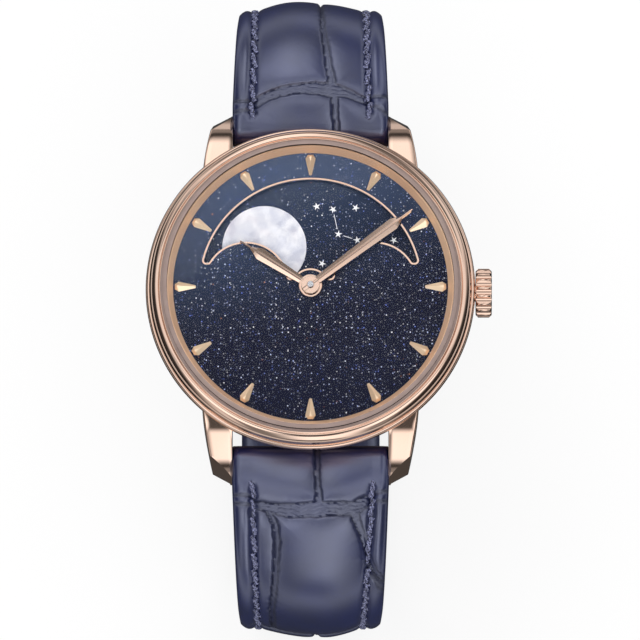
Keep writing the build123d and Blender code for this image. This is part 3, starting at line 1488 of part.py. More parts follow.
def strap_outline(foot_bottom, end, foot_thickness):
    shoulder_inner = strap_shoulder_radius - strap_thickness
    foot_inner = strap_foot_radius - foot_thickness
    high_outer = beside(strap_shoulder_centre, strap_shoulder_radius, -strap_lean)
    foot_z = foot_bottom + strap_foot_radius
    fall = high_outer[1] - foot_z + strap_foot_radius * math.sin(math.radians(strap_lean))
    foot_y = (
        high_outer[0]
        - fall * math.tan(math.radians(strap_lean))
        - strap_foot_radius * math.cos(math.radians(strap_lean))
    )
    foot_centre = (foot_y, foot_z)
    shoulder_middle = (90 - strap_lean) / 2
    foot_middle = -(90 + strap_lean) / 2
    with BuildLine() as line:
        lower = (strap_bar_reach, strap_bar_height - strap_end_radius)
        upper = (strap_bar_reach, strap_bar_height + strap_end_radius)
        low_outer = beside(foot_centre, strap_foot_radius, -strap_lean)
        low_inner = beside(foot_centre, foot_inner, -strap_lean)
        high_inner = beside(strap_shoulder_centre, shoulder_inner, -strap_lean)
        ThreePointArc(upper, beside(strap_shoulder_centre, strap_shoulder_radius, shoulder_middle), high_outer)
        Line(high_outer, low_outer)
        ThreePointArc(low_outer, beside(foot_centre, strap_foot_radius, foot_middle), (foot_y, foot_bottom))
        Line((foot_y, foot_bottom), (end, foot_bottom))
        Line((end, foot_bottom), (end, foot_bottom + foot_thickness))
        Line((end, foot_bottom + foot_thickness), (foot_y, foot_bottom + foot_thickness))
        ThreePointArc(
            (foot_y, foot_bottom + foot_thickness), beside(foot_centre, foot_inner, foot_middle), low_inner
        )
        Line(low_inner, high_inner)
        inner_start = (strap_shoulder_reach, strap_shoulder_height - strap_thickness)
        ThreePointArc(
            high_inner, beside(strap_shoulder_centre, shoulder_inner, shoulder_middle), inner_start
        )
        Line(inner_start, lower)
        ThreePointArc(lower, (strap_bar_reach - strap_end_radius, strap_bar_height), upper)
    return line.line


def strap_front():
    top = strap_shoulder_height + cut_margin
    width = lug_gap / 2 - strap_width_slack
    horizon = strap_shoulder_centre[1]
    return [
        (width, top),
        (width, strap_bar_height),
        (strap_horizon_half_width, horizon),
        (strap_foot_half_width, -strap_foot_height - cut_margin),
        (-strap_foot_half_width, -strap_foot_height - cut_margin),
        (-strap_horizon_half_width, horizon),
        (-width, strap_bar_height),
        (-width, top),
    ]


def strap_body(foot_bottom, end, foot_thickness):
    half = lug_gap / 2
    with BuildSketch(Plane.YZ.offset(-half)) as outline:
        add(strap_outline(foot_bottom, end, foot_thickness))
        make_face()
    extrude(outline.sketch, amount=2 * half)
    with BuildSketch(Plane.XZ) as front:
        with BuildLine():
            Polyline(*strap_front(), close=True)
        make_face()
    reach = strap_shoulder_reach + strap_shoulder_radius + cut_margin
    extrude(front.sketch, amount=reach, both=True, mode=Mode.INTERSECT)


def bar_hole(y, z, radius):
    half = lug_gap
    with BuildSketch(Plane((-half, y, z), z_dir=(1, 0, 0))) as outline:
        Circle(radius)
    extrude(outline.sketch, amount=2 * half, mode=Mode.SUBTRACT)


short_foot = -strap_foot_height + strap_foot_thickness + foot_lift
buckle_bar_at = (strap_12_end + strap_foot_thickness / 2, short_foot + strap_foot_thickness / 2)

with BuildPart() as strap_12:
    strap_body(short_foot, strap_12_end, strap_foot_thickness)
    bar_hole(strap_bar_reach, strap_bar_height, bar_radius + running_gap)
    bar_hole(buckle_bar_at[0], buckle_bar_at[1], buckle_bar_radius + running_gap)
    block(
        (-prong_width / 2 - 4 * running_gap, strap_12_end - cut_margin, short_foot - cut_margin),
        (
            prong_width / 2 + 4 * running_gap,
            buckle_bar_at[0] + 2 * buckle_bar_radius,
            short_foot + strap_foot_thickness + cut_margin,
        ),
        Mode.SUBTRACT,
    )
strap_12.part.label = "strap_12"
export_step(strap_12.part, "parts/strap_12.step")

with BuildPart() as strap_6_turned:
    strap_body(-strap_foot_height, strap_6_end, strap_foot_thickness)
    bar_hole(strap_bar_reach, strap_bar_height, bar_radius + running_gap)
    tail_top = -strap_foot_height + strap_foot_thickness
    with BuildSketch(Plane.XY.offset(-strap_foot_height)):
        with Locations((0, strap_6_end + strap_hole_start + (strap_hole_count - 1) * strap_hole_spacing / 2)):
            with GridLocations(strap_hole_spacing, strap_hole_spacing, 1, strap_hole_count):
                Circle(strap_hole_radius)
        for side in (-1, 1):
            with BuildLine():
                Polyline(
                    (side * strap_tip_half_width, strap_6_end),
                    (side * (strap_foot_half_width + cut_margin), strap_6_end + strap_tip_length),
                    (side * (strap_foot_half_width + cut_margin), strap_6_end),
                    close=True,
                )
            make_face()
    extrude(amount=strap_foot_thickness, mode=Mode.SUBTRACT)

with BuildPart() as strap_6:
    add(mirror(strap_6_turned.part, about=Plane.XZ, mode=Mode.PRIVATE))
strap_6.part.label = "strap_6"
export_step(strap_6.part, "parts/strap_6.step")


# Keepers: leather loops round the short half, high enough for the tail as well
def keeper(start):
    inner_half = strap_foot_half_width + keeper_gap
    low = short_foot - keeper_gap
    high = short_foot + 2 * strap_foot_thickness + keeper_gap
    block(
        (-inner_half - keeper_wall, start, low - keeper_wall),
        (inner_half + keeper_wall, start + keeper_length, high + keeper_wall),
    )
    block((-inner_half, start, low), (inner_half, start + keeper_length, high), Mode.SUBTRACT)


fixed_keeper_start = buckle_bar_at[0] + 2 * buckle_bar_radius + keeper_space / 2
sliding_keeper_start = fixed_keeper_start + keeper_length + keeper_space / 2
with BuildPart() as fixed_keeper:
    keeper(fixed_keeper_start)
fixed_keeper.part.label = "fixed_keeper"
export_step(fixed_keeper.part, "parts/fixed_keeper.step")

with BuildPart() as sliding_keeper:
    keeper(sliding_keeper_start)
sliding_keeper.part.label = "sliding_keeper"
export_step(sliding_keeper.part, "parts/sliding_keeper.step")

# Buckle: an open frame and a prong, both turning on one bar
frame_low = buckle_bar_at[1] - buckle_thickness / 2
with BuildPart() as buckle_bar:
    buckle_bar_half = buckle_width / 2 - buckle_side / 3
    with BuildSketch(Plane((-buckle_bar_half, buckle_bar_at[0], buckle_bar_at[1]), z_dir=(1, 0, 0))):
        Circle(buckle_bar_radius)
    extrude(amount=2 * buckle_bar_half)
buckle_bar.part.label = "buckle_bar"
export_step(buckle_bar.part, "parts/buckle_bar.step")

with BuildPart() as buckle_frame:
    frame_back = buckle_bar_at[0] + 1.8 * buckle_bar_radius
    frame_front = buckle_bar_at[0] - buckle_reach - buckle_side
    block(
        (-buckle_width / 2, frame_front, frame_low),
        (buckle_width / 2, frame_back, frame_low + buckle_thickness),
    )
    fillet(buckle_frame.edges().filter_by(Axis.Z), buckle_side * 0.7)
    fillet(buckle_frame.edges().filter_by(Axis.Y), buckle_thickness * 0.3)
    block(
        (-buckle_width / 2 + buckle_side, frame_front + buckle_side, frame_low - cut_margin),
        (buckle_width / 2 - buckle_side, frame_back + cut_margin, frame_low + buckle_thickness + cut_margin),
        Mode.SUBTRACT,
    )
    bar_hole(buckle_bar_at[0], buckle_bar_at[1], buckle_bar_radius + running_gap)
buckle_frame.part.label = "buckle_frame"
export_step(buckle_frame.part, "parts/buckle_frame.step")

with BuildPart() as buckle_prong:
    prong_plane = Plane((-prong_width / 2, buckle_bar_at[0], buckle_bar_at[1]), z_dir=(1, 0, 0))
    with BuildSketch(prong_plane):
        Circle(1.8 * buckle_bar_radius)
    extrude(amount=prong_width)
    shank_low = frame_low + buckle_thickness + running_gap
    block(
        (-prong_width / 2, frame_front + buckle_side / 4, shank_low),
        (prong_width / 2, buckle_bar_at[0], shank_low + prong_thickness / 2),
    )
    bar_hole(buckle_bar_at[0], buckle_bar_at[1], buckle_bar_radius + running_gap)
buckle_prong.part.label = "buckle_prong"
export_step(buckle_prong.part, "parts/buckle_prong.step")
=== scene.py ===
import bpy
import bmesh
import json
import math
import numpy as np
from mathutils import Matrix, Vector


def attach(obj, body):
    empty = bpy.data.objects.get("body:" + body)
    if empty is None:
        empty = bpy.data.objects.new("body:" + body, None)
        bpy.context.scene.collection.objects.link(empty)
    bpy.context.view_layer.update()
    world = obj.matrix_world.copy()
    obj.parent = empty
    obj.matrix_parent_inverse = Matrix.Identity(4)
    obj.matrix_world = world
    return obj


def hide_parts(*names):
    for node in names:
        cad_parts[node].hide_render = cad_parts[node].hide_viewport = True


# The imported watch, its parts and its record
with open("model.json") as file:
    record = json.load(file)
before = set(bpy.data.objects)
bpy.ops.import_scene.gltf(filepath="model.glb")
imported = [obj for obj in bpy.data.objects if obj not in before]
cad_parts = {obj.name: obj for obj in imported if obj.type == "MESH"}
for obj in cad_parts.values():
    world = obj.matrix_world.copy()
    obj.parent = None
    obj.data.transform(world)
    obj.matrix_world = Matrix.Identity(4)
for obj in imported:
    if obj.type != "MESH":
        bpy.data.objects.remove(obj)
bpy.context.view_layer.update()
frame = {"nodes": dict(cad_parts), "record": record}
nodes = frame["nodes"]
scene = bpy.context.scene
scene.view_settings.view_transform = "Standard"

MM = 0.001


# Small tools for colours and node trees
def colour(red, green, blue):
    def channel(value):
        value = value / 255
        return value / 12.92 if value <= 0.04045 else ((value + 0.055) / 1.055) ** 2.4
    return (channel(red), channel(green), channel(blue), 1.0)


def grey(value):
    return (value, value, value, 1.0)


def place(tree, kind, inputs=None, **settings):
    made = tree.nodes.new(kind)
    for name, value in settings.items():
        setattr(made, name, value)
    for key, value in (inputs or {}).items():
        if isinstance(value, bpy.types.NodeSocket):
            tree.links.new(value, made.inputs[key])
        else:
            made.inputs[key].default_value = value
    return made


def reckon(tree, operation, first, second=0.0, third=0.0, clamp=False):
    inputs = {0: first, 1: second, 2: third}
    return place(tree, "ShaderNodeMath", inputs, operation=operation, use_clamp=clamp).outputs[0]


def times(tree, first, *others):
    for other in others:
        first = reckon(tree, "MULTIPLY", first, other)
    return first


def largest(tree, first, *others):
    for other in others:
        first = reckon(tree, "MAXIMUM", first, other)
    return first


def mixed(tree, share, first, second, blend="MIX"):
    inputs = {0: share, 6: first, 7: second}
    return place(tree, "ShaderNodeMix", inputs, data_type="RGBA", blend_type=blend).outputs[2]


def ramp(tree, value, stops):
    made = place(tree, "ShaderNodeValToRGB", {"Fac": value})
    made.color_ramp.interpolation = "EASE"
    elements = made.color_ramp.elements
    while len(elements) < len(stops):
        elements.new(0.5)
    for element, (position, tone) in zip(elements, stops):
        element.position = position
        element.color = tone
    return made.outputs["Color"]


def span(tree, value, low, high, low_out=0.0, high_out=1.0):
    inputs = {0: value, 1: low, 2: high, 3: low_out, 4: high_out}
    return place(tree, "ShaderNodeMapRange", inputs, interpolation_type="SMOOTHSTEP").outputs[0]


def noise(tree, point, scale, detail=2.0):
    inputs = {"Vector": point, "Scale": scale, "Detail": detail}
    return place(tree, "ShaderNodeTexNoise", inputs).outputs[0]


def mapped(tree, point, **settings):
    return place(tree, "ShaderNodeMapping", {"Vector": point, **settings}).outputs[0]


def axes(tree, point):
    return place(tree, "ShaderNodeSeparateXYZ", {"Vector": point}).outputs


# A group whose inputs are a point and named colours or numbers
def effect(name, inputs, outputs):
    tree = bpy.data.node_groups.new(name, "ShaderNodeTree")
    tree.interface.new_socket("Point", in_out="INPUT", socket_type="NodeSocketVector")
    for title, value in inputs.items():
        kind = "NodeSocketColor" if isinstance(value, tuple) else "NodeSocketFloat"
        tree.interface.new_socket(title, in_out="INPUT", socket_type=kind).default_value = value
    for title in outputs:
        kind = "NodeSocketColor" if title == "Color" else "NodeSocketFloat"
        tree.interface.new_socket(title, in_out="OUTPUT", socket_type=kind)
    return tree, tree.nodes.new("NodeGroupInput").outputs, tree.nodes.new("NodeGroupOutput")


def use(tree, group, inputs):
    return place(tree, "ShaderNodeGroup", inputs, node_tree=group).outputs


def feed(tree, node, sockets):
    for key, socket in sockets.items():
        tree.links.new(socket, node.inputs[key])


def new_material(name, values):
    made = bpy.data.materials.new(name)
    made.use_nodes = True
    shader = made.node_tree.nodes["Principled BSDF"]
    for key, value in values.items():
        shader.inputs[key].default_value = value
    point = made.node_tree.nodes.new("ShaderNodeTexCoord").outputs["Object"]
    return made, made.node_tree, shader, point


# Mixes a material's own shader with another one, by share, at its output
def mix_out(tree, shader, share, other):
    inputs = {0: share, 1: shader.outputs[0], 2: other.outputs[0]}
    both = place(tree, "ShaderNodeMixShader", inputs)
    feed(tree, tree.nodes["Material Output"], {"Surface": both.outputs[0]})


def bumped(tree, height, strength, distance):
    inputs = {"Height": height, "Strength": strength, "Distance": distance}
    return place(tree, "ShaderNodeBump", inputs).outputs["Normal"]


# Small tools for meshes and finished pieces
def add_object(name, data):
    made = bpy.data.objects.new(name, data)
    scene.collection.objects.link(made)
    return made


def finish_piece(name, mesh, material, body, replaced=None):
    mesh.name = name
    mesh.materials.clear()
    mesh.materials.append(material)
    piece = add_object(name, mesh)
    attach(piece, body)
    if replaced:
        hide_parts(replaced)
    return piece


def smooth_mesh(mesh, angle):
    for face in mesh.polygons:
        face.use_smooth = True
    mesh.set_sharp_from_angle(angle=math.radians(angle))
    return mesh


def raw_mesh(points, faces):
    mesh = bpy.data.meshes.new("piece")
    mesh.from_pydata([Vector(point) * MM for point in points], [], faces)
    return mesh


# Merges points closer than a distance, and turns the faces outwards
def cleaned(mesh, merge=0.0, outward=True):
    work = bmesh.new()
    work.from_mesh(mesh)
    if merge:
        bmesh.ops.remove_doubles(work, verts=work.verts, dist=merge)
    if outward:
        bmesh.ops.recalc_face_normals(work, faces=work.faces)
    work.to_mesh(mesh)
    work.free()
    return mesh


def mesh_of(points, faces, angle=35):
    return smooth_mesh(cleaned(raw_mesh(points, faces), 1e-7), angle)


# A merged, smooth copy of a solid whose own mesh is loose triangles
def polished_copy(node, angle):
    return smooth_mesh(cleaned(nodes[node].data.copy(), 2e-6, False), angle)


# A plain mesh of what an object's modifiers make of it; the object itself goes
def plain_result(carrier):
    depsgraph = bpy.context.evaluated_depsgraph_get()
    depsgraph.update()
    result = bpy.data.meshes.new_from_object(carrier.evaluated_get(depsgraph))
    carrier.modifiers.clear()
    bpy.data.objects.remove(carrier)
    return result


def around(centre, radius, turn):
    return (centre[0] + radius * math.cos(turn), centre[1] + radius * math.sin(turn))


# Faces between rings of points: on to the first ring again, or capped at both ends
def ring_faces(rings, count, capped=False):
    faces = []
    for ring in range(rings - 1 if capped else rings):
        beyond = (ring + 1) % rings
        for spot in range(count):
            after = (spot + 1) % count
            near = [ring * count + spot, ring * count + after]
            far = [beyond * count + after, beyond * count + spot]
            faces.append(near + far if capped else near[:1] + far[::-1] + near[1:])
    if capped:
        faces += [list(range(count)), list(range((rings - 1) * count, rings * count))]
    return faces


# A closed profile in (radius, height) turned about the watch's axis
def turned_form(profile, segments):
    points = [
        (*around((0, 0), radius, 2 * math.pi * index / segments), height)
        for index in range(segments) for radius, height in profile
    ]
    return points, ring_faces(segments, len(profile))


def turned(profile, segments=240, angle=30):
    return mesh_of(*turned_form(profile, segments), angle)


# An upright prism added to a mesh in the making
def add_prism(work, outline, low, high, scale=1.0):
    base = [work.verts.new(Vector((x, y, low)) * scale) for x, y in outline]
    top = [work.verts.new(Vector((x, y, high)) * scale) for x, y in outline]
    work.faces.new(base[::-1])
    work.faces.new(top)
    for index in range(len(outline)):
        after = (index + 1) % len(outline)
        work.faces.new((base[index], base[after], top[after], top[index]))


# Cuts away what lies in front of a plane, and closes the cut
def shave(work, spot, facing, dist):
    cut = bmesh.ops.bisect_plane(
        work, geom=work.verts[:] + work.edges[:] + work.faces[:], dist=dist,
        plane_co=spot, plane_no=facing, clear_outer=True,
    )
    edges = [item for item in cut["geom_cut"] if isinstance(item, bmesh.types.BMEdge)]
    bmesh.ops.holes_fill(work, edges=edges, sides=0)


# Shared effects: fine scratches, star dust, leather grain with painted shade in its folds, striping and soft
# clouds
def make_scratches():
    tree, given, out = effect("Fine scratches", {"Gloss": 0.1, "Spread": 0.05}, ["Roughness", "Height"])
    fine = noise(tree, mapped(tree, given["Point"], Scale=(1.0, 1.0, 9.0)), 900.0, 4.0)
    both = times(tree, fine, noise(tree, given["Point"], 120.0))
    rough = reckon(tree, "MULTIPLY_ADD", both, given["Spread"], given["Gloss"])
    feed(tree, out, {"Roughness": rough, "Height": fine})
    return tree


def make_star_dust():
    tree, given, out = effect(
        "Star dust", {"Ground": grey(0.02), "Amount": 0.5, "Copper": 0.1}, ["Color", "Mask", "Roughness"]
    )
    total = None
    tone = given["Ground"]
    for scale, size, share, power, offset in (
        (4600.0, 0.3, 0.13, 0.36, 0.0), (2700.0, 0.22, 0.15, 0.7, 0.37), (1500.0, 0.14, 0.16, 1.2, 0.71)
    ):
        moved = mapped(tree, given["Point"], Location=(offset, offset * 2, 0.0))
        cell = place(
            tree, "ShaderNodeTexVoronoi", {"Vector": moved, "Scale": scale, "Randomness": 1.0},
            voronoi_dimensions="2D",
        )
        parts = place(tree, "ShaderNodeSeparateColor", {"Color": cell.outputs["Color"]}).outputs
        chosen = reckon(tree, "LESS_THAN", parts[0], times(tree, given["Amount"], share * 2))
        dot = span(tree, cell.outputs["Distance"], size * 0.55, size, 1.0, 0.0)
        glow = reckon(tree, "MULTIPLY", reckon(tree, "POWER", parts[1], 1.2), power, clamp=True)
        dot = times(tree, dot, chosen, glow)
        hue = ramp(tree, parts[2], [
            (0.0, colour(255, 255, 255)), (0.55, colour(206, 218, 255)), (0.85, colour(110, 134, 235))
        ])
        coppery = reckon(tree, "GREATER_THAN", parts[2], reckon(tree, "SUBTRACT", 1.0, given["Copper"]))
        tone = mixed(tree, dot, tone, mixed(tree, coppery, hue, colour(226, 150, 106)))
        total = dot if total is None else largest(tree, total, dot)
    rough = span(tree, total, 0.0, 1.0, 0.3, 0.45)
    feed(tree, out, {"Color": tone, "Mask": total, "Roughness": rough})
    return tree


def make_leather_grain_and_fold_shade():
    tree, given, out = effect(
        "Leather grain and painted fold shade", {"Fold": 0.0, "Ground": grey(0.05), "Deep": grey(0.02)},
        ["Color", "Roughness", "Height"],
    )
    cells = {"Vector": given["Point"], "Scale": 5200.0}
    pore = span(tree, place(tree, "ShaderNodeTexVoronoi", cells).outputs["Distance"], 0.0, 0.35)
    cells["Scale"] = 2100.0
    wrinkle = place(tree, "ShaderNodeTexVoronoi", cells, feature="DISTANCE_TO_EDGE")
    lines = span(tree, wrinkle.outputs["Distance"], 0.0, 0.16)
    creased = times(tree, reckon(tree, "SUBTRACT", 1.0, lines), given["Fold"], 0.4)
    mottle = noise(tree, given["Point"], 210.0, 5.0)
    fine = noise(tree, given["Point"], 2600.0, 3.0)
    tone = mixed(tree, span(tree, mottle, 0.3, 0.7, 0.0, 0.55), given["Ground"], given["Deep"])
    # Painted shade: crease lines and folds are darkened in colour
    tone = mixed(tree, times(tree, creased, 0.75), tone, given["Deep"])
    tone = mixed(tree, times(tree, given["Fold"], 0.8), tone, grey(0.2), "MULTIPLY")
    height = reckon(tree, "MULTIPLY_ADD", pore, 0.12, times(tree, fine, 0.25))
    height = reckon(tree, "SUBTRACT", height, creased)
    rough = reckon(tree, "MULTIPLY_ADD", mottle, 0.1, 0.25)
    rough = reckon(tree, "MULTIPLY_ADD", given["Fold"], 0.18, rough)
    feed(tree, out, {"Color": tone, "Roughness": rough, "Height": height})
    return tree


def make_striping():
    tree, given, out = effect(
        "Striping", {"Spacing": 0.0021, "Light": grey(0.7), "Shade": grey(0.5)},
        ["Color", "Roughness", "Height"],
    )
    slanted = mapped(tree, given["Point"], Rotation=(0.0, 0.0, math.radians(38)))
    step = reckon(tree, "DIVIDE", axes(tree, slanted)[0], given["Spacing"])
    wave = reckon(tree, "PINGPONG", step, 1.0)
    fine = noise(tree, mapped(tree, slanted, Scale=(260.0, 5200.0, 260.0)), 1.0, 3.0)
    feed(tree, out, {
        "Color": mixed(tree, wave, given["Shade"], given["Light"]),
        "Roughness": reckon(tree, "MULTIPLY_ADD", fine, 0.2, 0.22),
        "Height": reckon(tree, "MULTIPLY_ADD", fine, 0.5, wave),
    })
    return tree


def make_clouds():
    tree, given, out = effect("Soft clouds", {"Scale": 160.0}, ["Mask", "Hue"])
    warp = place(tree, "ShaderNodeTexNoise", {"Vector": given["Point"], "Scale": 420.0, "Detail": 3.0})
    shifted = place(tree, "ShaderNodeVectorMath", {0: warp.outputs["Color"], 3: 0.0016}, operation="SCALE")
    swirled = place(tree, "ShaderNodeVectorMath", {0: given["Point"], 1: shifted.outputs[0]}, operation="ADD")
    cloud = place(
        tree, "ShaderNodeTexNoise",
        {"Vector": swirled.outputs[0], "Scale": given["Scale"], "Detail": 6.0, "Roughness": 0.55},
    )
    mask = span(tree, cloud.outputs[0], 0.32, 0.68)
    feed(tree, out, {"Mask": mask, "Hue": noise(tree, swirled.outputs[0], 420.0)})
    return tree


scratches = make_scratches()
star_dust = make_star_dust()
leather_grain_and_fold_shade = make_leather_grain_and_fold_shade()
striping = make_striping()
clouds = make_clouds()


# Materials
def metal(name, tone, deep, gloss, spread=0.05, relief=0.0, metallic=1.0):
    made, tree, shader, point = new_material(name, {"Metallic": metallic})
    wear = use(tree, scratches, {"Point": point, "Gloss": gloss, "Spread": spread})
    base = mixed(tree, span(tree, noise(tree, point, 90.0), 0.35, 0.65), tone, deep)
    feed(tree, shader, {"Base Color": base, "Roughness": wear["Roughness"]})
    if relief:
        feed(tree, shader, {"Normal": bumped(tree, wear["Height"], relief, 0.00002)})
    return made


rose_gold = metal("Polished rose gold", colour(247, 216, 197), colour(242, 207, 187), 0.07)
facet_gold = metal("Faceted rose gold", colour(250, 224, 192), colour(244, 212, 178), 0.34, 0.06, 0.0, 0.6)
satin_gold = metal("Satin rose gold", colour(238, 198, 164), colour(226, 182, 148), 0.42, 0.12, 0.15, 0.35)
brushed_gold = metal("Brushed rose gold", colour(238, 202, 180), colour(226, 188, 166), 0.2, 0.12, 0.2)
steel = metal("Fine steel", colour(200, 202, 206), colour(176, 178, 184), 0.2, 0.15, 0.1)
bright_steel = metal("Polished steel", colour(232, 232, 234), colour(214, 214, 218), 0.05)
blued_steel = metal("Blued screws", colour(40, 62, 150), colour(30, 44, 120), 0.16, 0.06)
gilt = metal("Gilt brass", colour(236, 200, 130), colour(214, 176, 108), 0.22, 0.12, 0.1)
spring_steel = metal("Tempered spring", colour(120, 128, 150), colour(92, 98, 120), 0.25, 0.1)


def striped_nickel():
    made, tree, shader, point = new_material("Striped nickel", {"Metallic": 1.0})
    stripes = use(tree, striping, {
        "Point": point, "Spacing": 0.0021, "Light": colour(222, 218, 212), "Shade": colour(172, 168, 164)
    })
    normal = bumped(tree, stripes["Height"], 0.3, 0.00004)
    feed(tree, shader, {"Base Color": stripes["Color"], "Roughness": stripes["Roughness"], "Normal": normal})
    return made


# Dark glass with dust in it, with painted light: lighter towards the dial's upper left
def dusted_glass(name, bright, dark):
    made, tree, shader, point = new_material(name, {"Specular IOR Level": 0.12})
    parts = axes(tree, point)
    # Painted light: the share of the lighter tone grows towards the upper left
    share = span(tree, reckon(tree, "MULTIPLY_ADD", parts[0], -0.3, parts[1]), -0.005, 0.021)
    dust = use(tree, star_dust, {
        "Point": point, "Ground": mixed(tree, share, dark, bright),
        "Amount": reckon(tree, "MULTIPLY_ADD", share, -0.22, 0.86), "Copper": 0.012,
    })
    feed(tree, shader, {"Base Color": dust["Color"], "Roughness": dust["Roughness"]})
    return made


def pearl_shell():
    made, tree, shader, point = new_material(
        "Mother of pearl", {"Coat Weight": 0.6, "Coat Roughness": 0.12, "IOR": 1.53}
    )
    soft = use(tree, clouds, {"Point": point, "Scale": 620.0})
    tone = mixed(tree, soft["Mask"], colour(192, 194, 208), colour(234, 234, 240))
    sheen = ramp(tree, soft["Hue"], [
        (0.3, colour(236, 240, 250)), (0.5, colour(255, 255, 255)), (0.7, colour(255, 246, 246))
    ])
    tone = mixed(tree, 0.4, tone, sheen, "MULTIPLY")
    feed(tree, shader, {"Base Color": tone, "Roughness": span(tree, soft["Mask"], 0.0, 1.0, 0.34, 0.2)})
    return made


# Clear to shadows and to soft light, so that it doesn't darken the dial
def clear_glass():
    made, tree, shader, point = new_material(
        "Crystal glass", {"Transmission Weight": 1.0, "IOR": 1.14, "Base Color": grey(1.0)}
    )
    smear = use(tree, scratches, {"Point": point, "Gloss": 0.0, "Spread": 0.004})
    feed(tree, shader, {"Roughness": smear["Roughness"]})
    path = tree.nodes.new("ShaderNodeLightPath").outputs
    open_way = place(tree, "ShaderNodeBsdfTransparent", {"Color": grey(0.97)})
    share = largest(tree, path["Is Shadow Ray"], path["Is Diffuse Ray"])
    mix_out(tree, shader, share, open_way)
    return made


def jewel_glass():
    made, tree, shader, point = new_material(
        "Ruby jewel", {"Coat Weight": 1.0, "Coat Roughness": 0.03, "IOR": 1.76}
    )
    mask = use(tree, clouds, {"Point": point, "Scale": 900.0})["Mask"]
    tone = mixed(tree, mask, colour(150, 14, 46), colour(206, 38, 78))
    feed(tree, shader, {"Base Color": tone, "Roughness": span(tree, mask, 0.0, 1.0, 0.12, 0.2)})
    return made


def speckled(name, specular, scale, first, last):
    made, tree, shader, point = new_material(name, {"Specular IOR Level": specular})
    tint = noise(tree, point, scale)
    rough = span(tree, tint, 0.0, 1.0, 0.35, 0.5)
    feed(tree, shader, {"Base Color": mixed(tree, tint, first, last), "Roughness": rough})
    return made


# The strap's top reads its own fold mark, and the lining has one even share of it; on the strap the mark
# paints shade into the folds and seams, besides roughening and creasing them
def leather(name, ground, deep, fold=None):
    made, tree, shader, point = new_material(
        name, {"Specular IOR Level": 1.0, "IOR": 1.95, "Specular Tint": (0.76, 0.8, 1.0, 1.0)}
    )
    if fold is None:
        fold = place(tree, "ShaderNodeAttribute", attribute_name="fold").outputs["Fac"]
    grain = use(tree, leather_grain_and_fold_shade, {"Point": point, "Ground": ground, "Deep": deep, "Fold": fold})
    normal = bumped(tree, grain["Height"], 0.45, 0.00006)
    feed(tree, shader, {"Base Color": grain["Color"], "Roughness": grain["Roughness"], "Normal": normal})
    return made


def thread_fibre():
    made, tree, shader, point = new_material("Navy thread", {"Specular IOR Level": 0.9})
    fibre = noise(tree, point, 9000.0, 3.0)
    tone = mixed(tree, span(tree, fibre, 0.44, 0.6), colour(12, 15, 42), colour(138, 142, 182))
    rough = span(tree, fibre, 0.0, 1.0, 0.4, 0.6)
    feed(tree, shader, {"Base Color": tone, "Roughness": rough, "Normal": bumped(tree, fibre, 0.4, 0.00004)})
    return made


pearl = pearl_shell()
crystal_glass = clear_glass()
seal = speckled("Grey seal", 0.5, 700.0, colour(134, 114, 108), colour(160, 140, 133))
strap_leather = leather("Navy alligator leather", colour(15, 25, 74), colour(7, 12, 44))
lining_leather = leather("Navy lining leather", colour(32, 38, 72), colour(20, 24, 54), 0.25)
thread = thread_fibre()
star_white = speckled("Star white", 0.3, 2400.0, colour(236, 238, 244), colour(255, 255, 255))

finishes = {
    "gold": rose_gold, "flange": satin_gold, "crystal": crystal_glass, "seal": seal, "steel": steel,
    "spring": spring_steel, "pearl": pearl, "gilt": gilt, "strap_leather": lining_leather,
    # The dial and disc glass carry painted light, lighter towards the upper left
    "aventurine": dusted_glass("Sparkling dial glass", colour(66, 82, 112), colour(10, 14, 37)),
    "moon_ground": dusted_glass("Sparkling disc glass", colour(52, 66, 92), colour(10, 14, 36)),
    "nickel": striped_nickel(), "ruby": jewel_glass(),
}
own_finishes = {"case_back": brushed_gold, "bridge_screws": blued_steel, "movement_ring": brushed_gold}
for subpart in frame["record"]["subparts"]:
    node = nodes[subpart["node"]]
    node.data.materials.clear()
    node.data.materials.append(own_finishes.get(subpart["node"], finishes[subpart["material_slot"]]))


# Case: a turned band, cut back to recess_radius where the strap comes in
recess_radius = 17.55
recess_half_width = 10.4


def case_band(segments=360):
    flank = [(17.6, 1.06), (17.72, 1.5), (17.94, 2.4), (18.2, 3.6), (18.48, 4.9), (18.49, 4.94)]
    edge = [(18.5, 4.95), (18.78, 5.6), (18.98, 6.0), (19.05, 6.2), (19.04, 6.42), (18.98, 6.6)]
    edge += [(18.9, 6.71), (18.8, 6.76), (18.68, 6.78), (18.6, 6.76)]
    points = []
    for index in range(segments):
        turn = 2 * math.pi * index / segments
        recessed = abs(18 * math.cos(turn)) < recess_half_width
        ring = [(17.4, 6.76), (17.4, 1.02), (17.5, 1.0)]
        ring += [(recess_radius if recessed else radius, height) for radius, height in flank]
        ring += edge
        points += [(*around((0, 0), radius, turn), height) for radius, height in ring]
    return mesh_of(points, ring_faces(segments, len(ring)), 32)


